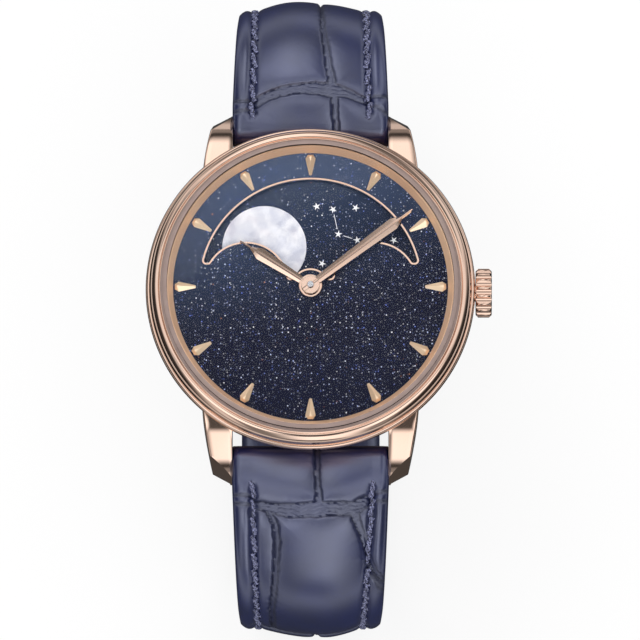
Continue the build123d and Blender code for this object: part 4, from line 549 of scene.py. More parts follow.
# One lug's rows from root to tip, its tip cut off by a steep facet, then set at all four corners
def lug_form():
    first, middle, last = (Vector(spot) for spot in ((12.4, 6.45), (18.9, 4.85), (21.9, 1.35)))
    chord = middle - first
    other = last - first
    cross = 2 * (chord.x * other.y - chord.y * other.x)
    centre = first + Vector((
        (other.y * chord.length_squared - chord.y * other.length_squared) / cross,
        (chord.x * other.length_squared - other.x * chord.length_squared) / cross,
    ))
    radius = (first - centre).length
    soft = 0.22
    inner = 9.0
    root = 12.4
    length = 9.5
    tip_start = 20.7
    rows = 49
    points = []
    for index in range(rows):
        reach = root + length * (index / (rows - 1)) ** 0.85
        top = centre.y + math.sqrt(radius**2 - (reach - centre.x) ** 2)
        share = (reach - root) / length
        under = 1.0 - 0.7 * share + 0.55 * math.sin(math.pi * share)
        outer = 12.55 - 1.25 * ((reach - root) / (tip_start - root)) ** 1.6
        if reach >= tip_start:
            outer = max(11.3 - 2.3 * (reach - tip_start) / 1.2, 9.25)
        row = [(inner, under), (inner, top - 0.12), (9.035, top - 0.035), (9.12, top)]
        row += [(9.12 + (outer - soft - 9.12) * step / 6, top) for step in range(1, 7)]
        for turn in (math.radians(22), math.radians(45), math.radians(68)):
            row.append((outer - soft + soft * math.sin(turn), top - soft + soft * math.cos(turn)))
        row += [(outer, top - soft), (outer, under)]
        points += [(x, reach, z) for x, z in row]
    work = bmesh.new()
    made = [work.verts.new(Vector(spot) * MM) for spot in points]
    faces = ring_faces(rows, len(row), True)
    for face in faces[-2:] + faces[:-2]:
        work.faces.new([made[corner] for corner in face])
    steep = 3.3
    shave(work, Vector((11.3, tip_start, 0.9)) * MM, Vector((steep * 0.4626, steep * 0.8866, 1.0)), 1e-8)
    whole = bmesh.new()
    for flip_x, flip_y in ((1, 1), (1, -1), (-1, 1), (-1, -1)):
        placed = {}
        for vert in work.verts:
            placed[vert] = whole.verts.new((vert.co.x * flip_x, vert.co.y * flip_y, vert.co.z))
        for face in work.faces:
            whole.faces.new([placed[vert] for vert in face.verts])
    bmesh.ops.recalc_face_normals(whole, faces=whole.faces)
    mesh = bpy.data.meshes.new("lugs")
    whole.to_mesh(mesh)
    whole.free()
    work.free()
    return smooth_mesh(mesh, 24)


def bezel_ring():
    profile = [(16.75, 6.75), (18.62, 6.75), (18.65, 6.80), (18.65, 6.98)]
    for index in range(1, 25):
        turn = index / 24 * math.pi / 2
        profile.append((18.65 - 1.03 * (1 - math.cos(turn)) ** 0.92, 6.98 + 1.24 * math.sin(turn) ** 0.86))
    profile += [(17.58, 8.16), (17.54, 8.14), (17.50, 8.16), (17.48, 8.22), (17.44, 8.25), (17.38, 8.25)]
    profile += [(17.35, 8.22), (17.35, 7.40), (16.75, 7.40)]
    return turned(profile, 300, 32)


# Points of a dome from its axis to its rim, for a rim radius, a rise and a top height
def dome(rim, rise, top):
    curve = (rim**2 + rise**2) / (2 * rise)
    return [
        (rim * index / 18, top - curve + math.sqrt(curve**2 - (rim * index / 18) ** 2)) for index in range(19)
    ]


def crystal_shell():
    profile = [(0.0, 9.4)] + dome(16.6, 0.85, 9.4)[1:]
    profile += [(16.6, 7.42), (16.62, 7.40), (17.03, 7.40), (17.05, 7.42), (17.05, 8.72)]
    profile += [(17.04, 8.77), (16.88, 8.93)] + dome(16.83, 1.45, 10.4)[::-1]
    return turned(profile, 200, 30)


crystal_edge = [(16.6, 8.99), (16.83, 8.955), (17.03, 8.78), (17.05, 8.75)]
crystal_edge += [(17.07, 8.78), (17.05, 8.81), (16.84, 8.985), (16.6, 9.02)]
flange_slope = [(15.85, 7.36), (15.87, 7.35), (16.55, 7.35), (16.55, 8.43), (16.53, 8.45)]
flange_slope += [(16.45, 8.45), (16.43, 8.43), (16.41, 8.40)]
back_glass = [(0.0, 0.0), (13.54, 0.0), (13.59, 0.05), (13.59, 0.25), (14.26, 0.25), (14.29, 0.28)]
back_glass += [(14.29, 0.87), (14.26, 0.90), (0.0, 0.90)]
finish_piece("case_band", case_band(), rose_gold, "root", "case_middle")
finish_piece("lugs", lug_form(), rose_gold, "root")
finish_piece("bezel_ring", bezel_ring(), rose_gold, "root", "bezel")
finish_piece("crystal_shell", crystal_shell(), crystal_glass, "root", "crystal")
finish_piece("crystal_edge", turned(crystal_edge, 240, 40), seal, "root")
finish_piece("flange_slope", turned(flange_slope), satin_gold, "root", "flange_ring")
finish_piece("back_glass", turned(back_glass, 160), crystal_glass, "root", "back_crystal")
finish_piece("crown_polished", polished_copy("crown", 25), rose_gold, "crown", "crown")


# Strap halves: padded leather over the shoulder, down each side and under the wrist
shoulder_centre = (22.5, -9.1)
shoulder_radius = 14
bar_place = (19.9, 2.55)
bar_round = 2.106
foot_radius = 12
side_lean = math.radians(-15)


# Stations along a half: (length from the lug end, top point, underside point)
def strap_run(foot_bottom, end):
    stations = []
    for index in range(8):
        over = around(bar_place, bar_round, math.radians(174 - 84 * index / 8))
        under = (over[0], 2 * bar_place[1] - over[1])
        stations.append((-2.6 - bar_round * (1 - index / 8), over, under))

    def shoulder(length, radius):
        return around(shoulder_centre, radius, math.pi / 2 - length / shoulder_radius)

    for index in range(16):
        share = index / 16
        length = -2.6 + 2.6 * share
        under = (bar_place[0] + 2.6 * share, 0.444 + 1.256 * share)
        stations.append((length, shoulder(length, shoulder_radius), under))
    bend = shoulder_radius * math.radians(105)
    for index in range(240):
        length = bend * index / 240
        stations.append((length, shoulder(length, shoulder_radius), shoulder(length, 10.8)))
    high = (shoulder(bend, shoulder_radius), shoulder(bend, 10.8))
    fall = high[0][1] - foot_bottom - foot_radius - foot_radius * math.sin(side_lean)
    foot_reach = high[0][0] - fall * math.tan(-side_lean) - foot_radius * math.cos(side_lean)
    foot = (foot_reach, foot_bottom + foot_radius)
    low = (around(foot, foot_radius, side_lean), around(foot, 10, side_lean))
    side = math.dist(high[0], low[0])
    steps = int(side / 0.3)
    for index in range(steps):
        share = index / steps
        over, under = ([a + (b - a) * share for a, b in zip(*ends)] for ends in zip(high, low))
        stations.append((bend + side * share, over, under))
    start = bend + side
    for index in range(52):
        turn = math.radians(75) * index / 52
        over, under = (around(foot, radius, side_lean - turn) for radius in (foot_radius, 10))
        stations.append((start + foot_radius * turn, over, under))
    start += foot_radius * math.radians(75)
    run = foot_reach - end
    steps = int(run / 0.32)
    for index in range(steps + 1):
        share = index / steps
        reach = foot_reach - run * share
        stations.append((start + run * share, (reach, foot_bottom), (reach, foot_bottom + 2)))
    lengths, over, under = (np.array(part) for part in zip(*stations))
    thick = np.linalg.norm(over - under, axis=1)
    return lengths, over, thick, (over - under) / thick[:, None]


def fall_off(values, low, high):
    share = np.clip((values - low) / (high - low), 0, 1)
    return share * share * (3 - 2 * share)


# Distance from points to a line, the width carried along it and the side they lie on
def line_distance(across, along, line):
    nearest = np.full(across.shape, 99.0)
    width = np.zeros(across.shape)
    hand = np.zeros(across.shape)
    for (x0, s0, w0), (x1, s1, w1) in zip(line, line[1:]):
        run = np.array([x1 - x0, s1 - s0])
        share = np.clip(((across - x0) * run[0] + (along - s0) * run[1]) / (run @ run), 0, 1)
        gap = np.hypot(across - x0 - share * run[0], along - s0 - share * run[1])
        closer = gap < nearest
        nearest = np.where(closer, gap, nearest)
        width = np.where(closer, w0 + (w1 - w0) * share, width)
        beside = (across - x0) * run[1] - (along - s0) * run[0]
        hand = np.where(closer, np.clip(beside / np.hypot(*run) / 0.1, -1, 1), hand)
    return nearest, width, hand


# Valleys between the scales: points of (across, along, half-width), then the depth
twelve_valleys = [
    ([(1.19, 20.4, 0.1), (1.2, 18.8, 0.12), (1.3, 14.0, 0.16), (1.45, 10.6, 0.22), (1.75, 7.4, 0.3),
      (2.1, 4.5, 0.36), (2.5, 2.4, 0.4)], 0.2),
    ([(-6.5, -0.1, 0.5), (-5.15, 0.72, 0.5), (-3.7, 1.24, 0.52), (-1.6, 1.6, 0.55), (0.6, 1.66, 0.66),
      (2.4, 1.5, 0.85), (3.6, 1.35, 0.6), (5.06, 0.85, 0.42), (6.5, 0.2, 0.34)], 0.22),
    ([(2.5, 1.4, 0.4), (2.83, 0.3, 0.34), (2.85, -1.0, 0.3), (3.0, -2.5, 0.28), (3.1, -4.0, 0.25)], 0.2),
    ([(-8.9, 0.2, 0.1), (-7.4, 0.22, 0.12), (-6.4, -0.2, 0.1)], 0.12),
    ([(-8.9, -1.0, 0.1), (-7.4, -0.9, 0.12), (-6.4, -1.2, 0.1)], 0.12),
    ([(6.5, 0.5, 0.1), (7.5, 0.77, 0.12), (8.9, 0.86, 0.1)], 0.12),
    ([(7.0, -0.3, 0.1), (8.1, -0.64, 0.12), (8.9, -1.2, 0.1)], 0.1),
    ([(-6.5, 20.8, 0.3), (-3.0, 21.3, 0.5), (0.8, 21.0, 0.6), (4.0, 21.5, 0.5), (6.6, 21.1, 0.3)], 0.2),
    ([(-1.2, 21.2, 0.3), (-1.5, 25.0, 0.25), (-1.3, 30.6, 0.3)], 0.18),
    ([(-6.5, 31.0, 0.3), (-2.0, 30.7, 0.55), (3.0, 31.2, 0.5), (6.5, 30.9, 0.3)], 0.2),
    ([(1.6, 31.0, 0.3), (1.4, 36.0, 0.25), (1.9, 40.6, 0.3)], 0.18),
    ([(-6.4, 40.8, 0.3), (-2.0, 40.4, 0.5), (3.0, 40.9, 0.5), (6.4, 40.5, 0.3)], 0.18),
    ([(-0.6, 40.6, 0.3), (-0.9, 45.0, 0.25), (-0.5, 50.2, 0.3)], 0.16),
    ([(-6.3, 50.3, 0.3), (0.0, 50.0, 0.5), (6.3, 50.5, 0.3)], 0.16),
    ([(1.1, 50.2, 0.3), (0.9, 59.8, 0.25)], 0.14),
    ([(-6.2, 60.0, 0.3), (0.0, 59.8, 0.4), (6.2, 60.2, 0.3)], 0.12),
    ([(-0.8, 60.0, 0.25), (-0.5, 71.0, 0.2)], 0.12),
]
six_valleys = [
    ([(0.75, -4.0, 0.22), (0.75, -1.0, 0.26), (0.83, 0.4, 0.28), (0.97, 1.6, 0.32), (0.97, 2.6, 0.45)], 0.2),
    ([(-6.4, 2.7, 0.45), (-4.6, 3.05, 0.55), (-2.6, 3.35, 0.75), (0.4, 3.2, 0.85), (3.2, 3.1, 0.75),
      (5.0, 3.1, 0.75), (6.6, 2.2, 0.6)], 0.22),
    ([(-4.7, 3.6, 0.3), (-4.05, 4.9, 0.3), (-3.82, 6.9, 0.3), (-3.97, 9.7, 0.28), (-4.22, 13.7, 0.28),
      (-4.47, 16.9, 0.24), (-4.38, 20.2, 0.24), (-4.2, 22.6, 0.24)], 0.2),
    ([(5.05, 3.6, 0.5), (5.5, 4.9, 0.36), (6.05, 6.4, 0.3), (6.5, 8.2, 0.26), (7.0, 9.7, 0.26),
      (7.7, 11.2, 0.24), (8.9, 13.2, 0.2)], 0.2),
    ([(6.44, 9.5, 0.1), (7.0, 11.2, 0.14), (8.2, 13.5, 0.1), (8.9, 14.4, 0.1)], 0.08),
    ([(-8.9, 1.5, 0.1), (-7.4, 1.54, 0.12), (-6.4, 1.86, 0.1)], 0.1),
    ([(-8.9, 2.5, 0.1), (-7.4, 2.6, 0.12), (-6.4, 2.84, 0.1)], 0.1),
    ([(6.9, 1.7, 0.1), (7.98, 1.13, 0.12), (8.9, 1.04, 0.1)], 0.1),
    ([(6.9, 2.5, 0.1), (7.8, 2.2, 0.12), (8.9, 2.27, 0.1)], 0.1),
    ([(-6.4, 22.4, 0.3), (-3.0, 22.8, 0.5), (0.8, 22.5, 0.6), (4.0, 23.0, 0.5), (6.4, 22.6, 0.3)], 0.2),
    ([(0.6, 22.8, 0.3), (0.9, 27.0, 0.25), (0.5, 32.4, 0.3)], 0.18),
    ([(-6.3, 32.6, 0.3), (-2.0, 32.3, 0.55), (3.0, 32.8, 0.5), (6.3, 32.5, 0.3)], 0.2),
    ([(-1.4, 32.5, 0.3), (-1.1, 37.0, 0.25), (-1.5, 42.4, 0.3)], 0.18),
    ([(-6.3, 42.5, 0.3), (2.0, 42.1, 0.5), (6.3, 42.6, 0.3)], 0.16),
    ([(1.3, 42.3, 0.3), (1.1, 52.4, 0.25)], 0.16),
    ([(-6.2, 52.6, 0.3), (0.0, 52.3, 0.45), (6.2, 52.7, 0.3)], 0.14),
    ([(-0.5, 52.4, 0.3), (-0.7, 62.8, 0.25)], 0.14),
    ([(-6.2, 63.0, 0.3), (0.0, 62.7, 0.45), (6.2, 63.2, 0.3)], 0.12),
    ([(0.4, 63.0, 0.25), (0.6, 74.2, 0.25)], 0.12),
    ([(-6.2, 74.4, 0.3), (0.0, 74.1, 0.4), (6.2, 74.6, 0.3)], 0.12),
    ([(-0.6, 74.4, 0.25), (-0.4, 86.0, 0.25)], 0.1),
    ([(-6.2, 86.2, 0.25), (6.2, 86.0, 0.25)], 0.1),
    ([(0.5, 86.0, 0.2), (0.3, 98.0, 0.2)], 0.1),
    ([(-6.2, 98.2, 0.2), (6.2, 98.0, 0.2)], 0.1),
]

# Half the strap's width and the run of its seams, as tables of lengths and distances from the middle
strap_width = ([-6, 0, 25, 58], [8.9, 8.9, 8.05, 8.0])
upper_seam = ([-2, 1, 6, 12, 60], [6.85, 6.72, 6.55, 6.5, 6.1])
lower_seams = {
    1: ([0, 3, 6, 9, 15, 22, 60], [7.25, 7.09, 6.85, 6.6, 6.36, 6.04, 6.1]),
    -1: ([0, 3, 9, 15, 22, 60], [6.7, 6.6, 6.45, 6.28, 6.1, 6.1]),
}
point_length = 9.0
seam_margin = 1.75
top_columns = 108
stitch_length = 1.95
stitch_step = 2.12
hole_radius = 0.8


def half_width_at(lengths, total, upper):
    width = np.interp(lengths, *strap_width)
    if upper:
        return width
    share = np.clip((lengths - (total - point_length)) / point_length, 0, 1)
    return width * np.sqrt(1 - (share * 0.86) ** 2.4)


def stitch_reach(lengths, side, total, upper):
    line = np.interp(lengths, *(upper_seam if upper else lower_seams[side]))
    return np.minimum(line, half_width_at(lengths, total, upper) - seam_margin)


def bell(values, middle, spread):
    return np.exp(-(((values - middle) / spread) ** 2))


# Height of the leather over its flat top, and how much each point belongs to a fold, a mark that also paints
# shade into the folds and seams
def leather_relief(across, along, total, upper, valleys):
    width = half_width_at(along, total, upper)
    left = stitch_reach(along, -1, total, upper)
    right = stitch_reach(along, 1, total, upper)
    crown = 0.8 * fall_off(along, -4.6, 3.0) + 0.38 * fall_off(along, 6.0, 16.0)
    crown = crown * (1 - fall_off(along, 24.0, 33.0))
    middle = -1.4 if upper else 1.1
    from_middle = across - middle
    reach = np.where(from_middle < 0, -from_middle / (left + middle), from_middle / (right - middle))
    height = crown * np.clip(1 - reach**2, 0, 1) ** 1.1
    sewn = fall_off(along, -2.2, -0.8) if upper else fall_off(along, -0.4, 0.9)
    sewn = sewn * (1 - fall_off(along, total - 3.2, total - 2.2))
    off_seam = np.abs(across) - np.where(across < 0, left, right)
    height -= 0.3 * sewn * bell(off_seam, 0, 0.42)
    height += 0.12 * sewn * bell(off_seam, 0.95, 0.5) * (along < 30)
    fold = 0.55 * sewn * bell(off_seam, 0, 0.5)
    signed = np.full(across.shape, 99.0)
    deep = np.zeros(across.shape)
    broad = np.zeros(across.shape)
    shaded = np.zeros(across.shape)
    for line, depth in valleys:
        gap, half, hand = line_distance(across, along, line)
        closer = gap - half < signed
        upright = abs(line[-1][1] - line[0][1]) > abs(line[-1][0] - line[0][0])
        lean = hand * np.sign(line[-1][1] - line[0][1]) if upright else 0 * hand
        shaded = np.where(closer, lean, shaded)
        signed = np.where(closer, gap - half, signed)
        deep = np.where(closer, depth, deep)
        broad = np.where(closer, half, broad)
    signed = signed + 0.05 * np.sin(across * 3.1 + 1.3 * np.sin(along * 2.7)) * np.cos(along * 3.7 + across)
    inside = 1 - fall_off(signed, -0.12, 0.12)
    outside = np.clip(signed, 0, None)
    height -= deep * inside
    height -= deep * (0.7 - 0.45 * shaded) * bell(signed, 0, 0.13)
    height -= deep * 0.9 * np.exp(-outside / 0.75)
    wave = along * 6.6 + 1.3 * np.sin(across * 1.5) + 0.7 * np.sin(across * 3.9 + along)
    ripple = np.abs(np.sin(wave)) ** 0.6 - 0.5
    height += 0.17 * ripple * inside * np.clip((broad - 0.34) / 0.2, 0, 1)
    for mark in (0.4 * inside, bell(signed, 0, 0.13), 0.35 * np.exp(-outside / 0.5)):
        fold = np.maximum(fold, mark)
    edge = np.clip((np.abs(across) - (width - 0.9)) / 0.9, 0, 1)
    height -= 0.42 * edge**2.4
    return np.where(along > 30, np.minimum(height, 0), height), fold


# Rings round the strap: its top, right edge, underside and left edge
def strap_half(foot_bottom, end, upper, valleys):
    lengths, over, thick, rise = strap_run(foot_bottom, end)
    total = lengths[-1]
    lengths, thick = lengths[:, None], thick[:, None]
    width = half_width_at(lengths, total, upper)
    across = width * np.linspace(-1, 1, top_columns)
    along = np.repeat(lengths, top_columns, axis=1)
    height, fold = leather_relief(across, along, total, upper, valleys)
    ending = np.clip((lengths - (total - 0.5)) / 0.5, 0, 1)
    height = height * np.clip(thick / 3.0, 0, 1) - 0.45 * ending**2
    thin = np.minimum(1, thick / 2)
    bottom = -thick + 0.3 * ending
    corner = bottom + 0.35 * thin
    down = np.arange(1, 6) / 6
    bulge = 0.16 * np.sin(math.pi * down) * thin
    right = height[:, -1:] + (corner - height[:, -1:]) * down
    left = height[:, :1] + (corner - height[:, :1]) * down[::-1]
    under = 1 - np.arange(25) / 12
    below = bottom + 0.35 * thin * np.abs(under) ** 12
    reach = np.hstack([across, width + bulge, width * under, -width - bulge[:, ::-1]])
    level = np.hstack([height, right, below, left])
    marks = np.hstack([fold, np.tile([0.12] * 5 + [0.3] * 25 + [0.12] * 5, (len(fold), 1))])
    spots = over[:, None] + rise[:, None] * level[:, :, None]
    direction = 1 if upper else -1
    points = np.dstack([reach, direction * spots[:, :, 0], spots[:, :, 1]]).reshape(-1, 3)
    mesh = smooth_mesh(raw_mesh(points, ring_faces(*reach.shape, True)), 60)
    mesh.attributes.new("fold", "FLOAT", "POINT").data.foreach_set("value", marks.ravel().tolist())
    return cleaned(mesh)


# Round holes cut upwards through the strap's flat end
def punched(mesh, spots, radius):
    work = bmesh.new()
    for spot in spots:
        circle = [around(spot, radius, 2 * math.pi * step / 24) for step in range(24)]
        add_prism(work, circle, -39.5, -34.8, MM)
    cutter_mesh = bpy.data.meshes.new("punches")
    work.to_mesh(cutter_mesh)
    work.free()
    cutter = add_object("punches", cutter_mesh)
    carrier = add_object("carrier", mesh)
    modifier = carrier.modifiers.new("holes", "BOOLEAN")
    modifier.operation = "DIFFERENCE"
    modifier.solver = "MANIFOLD"
    modifier.object = cutter
    result = plain_result(carrier)
    bpy.data.objects.remove(cutter)
    return result


# A node tree over a mesh, with named inputs
def geometry_tree(name, inputs):
    tree = bpy.data.node_groups.new(name, "GeometryNodeTree")
    for title, kind, value in (("Geometry", "Geometry", None), *inputs):
        made = tree.interface.new_socket(title, in_out="INPUT", socket_type="NodeSocket" + kind)
        if value is not None:
            made.default_value = value
    tree.interface.new_socket("Geometry", in_out="OUTPUT", socket_type="NodeSocketGeometry")
    return tree, tree.nodes.new("NodeGroupInput").outputs, tree.nodes.new("NodeGroupOutput")


# One form laid on many points, made real and given its material
def laid_out(tree, out, points, form, rotation, material):
    inputs = {"Points": points, "Instance": form, "Rotation": rotation}
    laid = place(tree, "GeometryNodeInstanceOnPoints", inputs)
    real = place(tree, "GeometryNodeRealizeInstances", {"Geometry": laid.outputs[0]})
    inputs = {"Geometry": real.outputs[0], "Material": material}
    finished = place(tree, "GeometryNodeSetMaterial", inputs)
    feed(tree, out, {"Geometry": finished.outputs[0]})


# Runs a node tree over a start mesh, and gives the result as a plain mesh
def grown(start_mesh, tree, values):
    carrier = add_object("carrier", start_mesh)
    modifier = carrier.modifiers.new("tree", "NODES")
    modifier.node_group = tree
    for item in tree.interface.items_tree:
        if item.item_type == "SOCKET" and item.in_out == "INPUT" and item.name in values:
            modifier[item.identifier] = values[item.name]
    return plain_result(carrier)


# Saddle stitches: two twisted plies repeated along each seam by a node tree
def stitch_tree():
    tree, given, out = geometry_tree("Saddle stitches", [
        ("Stitch length", "Float", 0.00195), ("Ply radius", "Float", 0.00015), ("Thread", "Material", None)
    ])

    def step(kind, inputs, **settings):
        return place(tree, kind, inputs, **settings).outputs[0]

    coil = step("GeometryNodeCurveSpiral", {
        "Resolution": 8, "Rotations": 1.25, "Start Radius": 0.00015, "End Radius": 0.00015,
        "Height": given["Stitch length"],
    })
    ring = step("GeometryNodeCurvePrimitiveCircle", {"Resolution": 6, "Radius": given["Ply radius"]})
    ply = step("GeometryNodeCurveToMesh", {"Curve": coil, "Profile Curve": ring, "Fill Caps": True})
    ply = step("GeometryNodeSetShadeSmooth", {"Geometry": ply})
    other = step("GeometryNodeTransform", {"Geometry": ply, "Rotation": (0.0, 0.0, math.pi)})
    pair = tree.nodes.new("GeometryNodeJoinGeometry")
    tree.links.new(ply, pair.inputs[0])
    tree.links.new(other, pair.inputs[0])
    shift = step("ShaderNodeCombineXYZ", {"Z": times(tree, given["Stitch length"], -0.5)})
    centred = step("GeometryNodeTransform", {"Geometry": pair.outputs[0], "Translation": shift})
    run = step("GeometryNodeInputNamedAttribute", {"Name": "run"}, data_type="FLOAT_VECTOR")
    turn = step("FunctionNodeAlignRotationToVector", {"Vector": run}, axis="Z")
    spots = step("GeometryNodeMeshToPoints", {"Mesh": given["Geometry"]})
    laid_out(tree, out, spots, centred, turn, given["Thread"])
    return tree


# Places along both seams, each with the stitch's own slanting direction
def seam_places(foot_bottom, end, upper, valleys):
    lengths, over, thick, rise = strap_run(foot_bottom, end)
    total = lengths[-1]
    direction = 1 if upper else -1
    spots = []
    runs = []
    for side in (-1, 1):
        for length in np.arange(-0.9 if upper else 0.9, total - 3.0, stitch_step):
            at = np.array([length])
            across = side * stitch_reach(at, side, total, upper)
            lift = leather_relief(across, at, total, upper, valleys)[0][0] + 0.17
            centre = [np.interp(length, lengths, over[:, axis]) for axis in (0, 1)]
            out = [np.interp(length, lengths, rise[:, axis]) for axis in (0, 1)]
            spots.append((across[0], direction * (centre[0] + out[0] * lift), centre[1] + out[1] * lift))
            runs += [side * 0.2 * direction, direction * out[1], -out[0]]
    mesh = raw_mesh(spots, [])
    mesh.attributes.new("run", "FLOAT_VECTOR", "POINT").data.foreach_set("vector", runs)
    return mesh


# Each half: height under the wrist, where it ends, whether it is the upper one, its valleys
halves = {
    "strap_12": (-34.4, 4.2, True, twelve_valleys), "strap_6": (-38.0, -31.0, False, six_valleys)
}
hole_places = [(0.0, 16.0 - 6.5 * index) for index in range(6)]
for half, settings in halves.items():
    leather_mesh = strap_half(*settings)
    if half == "strap_6":
        leather_mesh = punched(leather_mesh, hole_places, hole_radius)
    piece = finish_piece(half + "_leather", leather_mesh, strap_leather, half, half)
stitches = stitch_tree()
for half, settings in halves.items():
    sewn = grown(seam_places(*settings), stitches, {
        "Stitch length": stitch_length * MM, "Ply radius": 0.0002, "Thread": thread
    })
    finish_piece(half + "_stitches", sewn, thread, half)


# Hands: a flat ridge between two long bevels, on a hub that is slotted behind the blade
def blade(stations, low, high):
    edge = low + 0.05
    points = []
    for reach, half, flat in stations:
        points += [
            (-half, reach, low), (-half, reach, edge), (-flat, reach, high), (0.0, reach, high - 0.55 * flat),
            (flat, reach, high), (half, reach, edge), (half, reach, low),
        ]
    return points, ring_faces(len(stations), 7, True)


def slab(outline, low, high, chamfer):
    inset = []
    count = len(outline)
    for index, (x, y) in enumerate(outline):
        before = outline[index - 1]
        after = outline[(index + 1) % count]
        side = Vector((after[0] - before[0], after[1] - before[1])).normalized()
        inset.append((x - side.y * chamfer, y + side.x * chamfer))
    points = [(x, y, low) for x, y in outline]
    points += [(x, y, high - chamfer) for x, y in outline]
    points += [(x, y, high) for x, y in inset]
    return points, ring_faces(3, count, True)


def ring_slab(inner, outer, low, high, chamfer):
    profile = [
        (inner, low), (outer, low), (outer, high - chamfer), (outer - chamfer, high),
        (inner + chamfer, high), (inner, high - chamfer),
    ]
    return turned_form(profile, 72)


def slotted_ring(inner, outer, half_slot, steps=64):
    outline = []
    for radius, order in ((outer, 1), (inner, -1)):
        shy = math.asin(half_slot / radius)
        turns = [-math.pi / 2 + shy + (2 * math.pi - 2 * shy) * index / steps for index in range(steps + 1)]
        outline += [around((0, 0), radius, turn) for turn in turns[::order]]
    return outline


# Several forms as one, turned about the watch's axis
def joined(parts, turn):
    points = []
    faces = []
    cosine = math.cos(turn)
    sine = math.sin(turn)
    for part_points, part_faces in parts:
        start = len(points)
        points += [(x * cosine - y * sine, x * sine + y * cosine, z) for x, y, z in part_points]
        faces += [tuple(start + corner for corner in face) for face in part_faces]
    return points, faces


hour_stations = [(0.9, 0.41, 0.13), (6.95, 0.735, 0.2), (7.6, 0.4, 0.14), (8.2, 0.17, 0.08)]
hour_stations += [(9.45, 0.15, 0.07), (9.7, 0.06, 0.03)]
hour_parts = [blade(hour_stations, 7.80, 8.02), ring_slab(0.5, 1.33, 7.80, 8.0, 0.04)]
hour_turn = math.radians(56.9)
minute_stations = [(0.42, 0.3, 0.1), (1.0, 0.43, 0.13), (12.0, 0.7, 0.19), (12.6, 0.44, 0.15)]
minute_stations += [(13.15, 0.18, 0.09), (14.5, 0.16, 0.08), (14.75, 0.06, 0.03)]
minute_parts = [
    blade(minute_stations, 8.25, 8.5), ring_slab(0.36, 1.02, 8.25, 8.34, 0.02),
    slab(slotted_ring(0.4, 1.05, 0.19), 8.27, 8.47, 0.035),
]
minute_turn = math.radians(-52.8)
pin_radius = 0.33
pin_shoulder = 8.6
pin_profile = [(0.0, 8.3), (pin_radius, 8.3), (pin_radius, pin_shoulder)]
for step in (18, 36, 54, 72):
    turn = math.radians(step)
    pin_profile.append((pin_radius * math.cos(turn), pin_shoulder + 0.16 * math.sin(turn)))
pin_profile.append((0.0, 8.76))
hour_mesh = mesh_of(*joined(hour_parts, hour_turn), 12)
minute_mesh = mesh_of(*joined(minute_parts, minute_turn), 12)
finish_piece("hour_hand_faceted", hour_mesh, rose_gold, "hour", "hour_hand")
finish_piece("minute_hand_faceted", minute_mesh, rose_gold, "minute", "minute_hand")
finish_piece("centre_pin", turned(pin_profile, 48, 40), bright_steel, "minute")


# Markers: one faceted kite, repeated round the dial by a node tree
def round_the_dial():
    tree, given, out = geometry_tree("Round the dial", [("Count", "Int", 12), ("Finish", "Material", None)])
    spots = place(tree, "GeometryNodePoints", {"Count": given["Count"]})
    index = tree.nodes.new("GeometryNodeInputIndex")
    turn = times(tree, index.outputs[0], reckon(tree, "DIVIDE", 2 * math.pi, given["Count"]))
    facing = place(tree, "ShaderNodeCombineXYZ", {"Z": turn})
    laid_out(tree, out, spots.outputs[0], given["Geometry"], facing.outputs[0], given["Finish"])
    return tree


dial_top = 7.35


# One marker, each of its seven sides sloped by its own angle in degrees
def kite_marker():
    corners = [
        (0.0, 13.2, 52), (0.16, 13.24, 33), (0.59, 15.19, 48), (0.3, 15.64, 50), (-0.3, 15.64, 48),
        (-0.59, 15.19, 33), (-0.16, 13.24, 52),
    ]
    bevel_foot = dial_top + 0.08
    work = bmesh.new()
    add_prism(work, [(x, y) for x, y, slope in corners], dial_top, dial_top + 0.39)
    for (x, y, slope), (next_x, next_y, _) in zip(corners, corners[1:] + corners[:1]):
        start = Vector((x, y, bevel_foot))
        run = (Vector((next_x, next_y, bevel_foot)) - start).normalized()
        steep = math.radians(slope)
        facing = Vector((run.y * math.sin(steep), -run.x * math.sin(steep), math.cos(steep)))
        shave(work, start, facing, 1e-5)
    bmesh.ops.remove_doubles(work, verts=work.verts, dist=1e-4)
    bmesh.ops.recalc_face_normals(work, faces=work.faces)
    work.verts.ensure_lookup_table()
    points = [tuple(vert.co) for vert in work.verts]
    faces = [tuple(vert.index for vert in face.verts) for face in work.faces]
    work.free()
    return mesh_of(points, faces, 8)


markers = grown(kite_marker(), round_the_dial(), {"Count": 12, "Finish": facet_gold})
finish_piece("hour_markers_faceted", markers, facet_gold, "root", "hour_markers")

# Stars and thin lines inlaid in the moon disc, the same on both halves
star_places = [
    (0.70, 9.64), (2.59, 9.28), (5.21, 9.48), (3.21, 6.35), (5.38, 5.65), (9.59, 5.63), (1.33, 2.86)
]
star_lines = [(1, 3), (3, 4)]
star_low = 6.78


def disc_stars():
    parts = []
    for number, spot in enumerate(star_places):
        lean = math.pi / 2 + 0.2 + 0.31 * number
        corners = [
            around(spot, 0.165 if tip % 2 else 0.48, lean + tip * math.pi / 5) for tip in range(10)
        ]
        parts.append(slab(corners, star_low, star_low + 0.04, 0.01))
    for start, end in star_lines:
        first = Vector(star_places[start])
        last = Vector(star_places[end])
        run = (last - first).normalized()
        first = first + run * 0.62
        last = last - run * 0.62
        side = Vector((run.y, -run.x)) * 0.034
        corners = [tuple(first + side), tuple(last + side), tuple(last - side), tuple(first - side)]
        parts.append(slab(corners, star_low, star_low + 0.03, 0.01))
    return mesh_of(*joined([joined(parts, 0.0), joined(parts, math.pi)], 0.0), 12)


rim_mesh = polished_copy("aperture_frame", 40)
finish_piece("disc_stars", disc_stars(), star_white, "moon_disc")
finish_piece("aperture_rim", rim_mesh, rose_gold, "root", "aperture_frame")


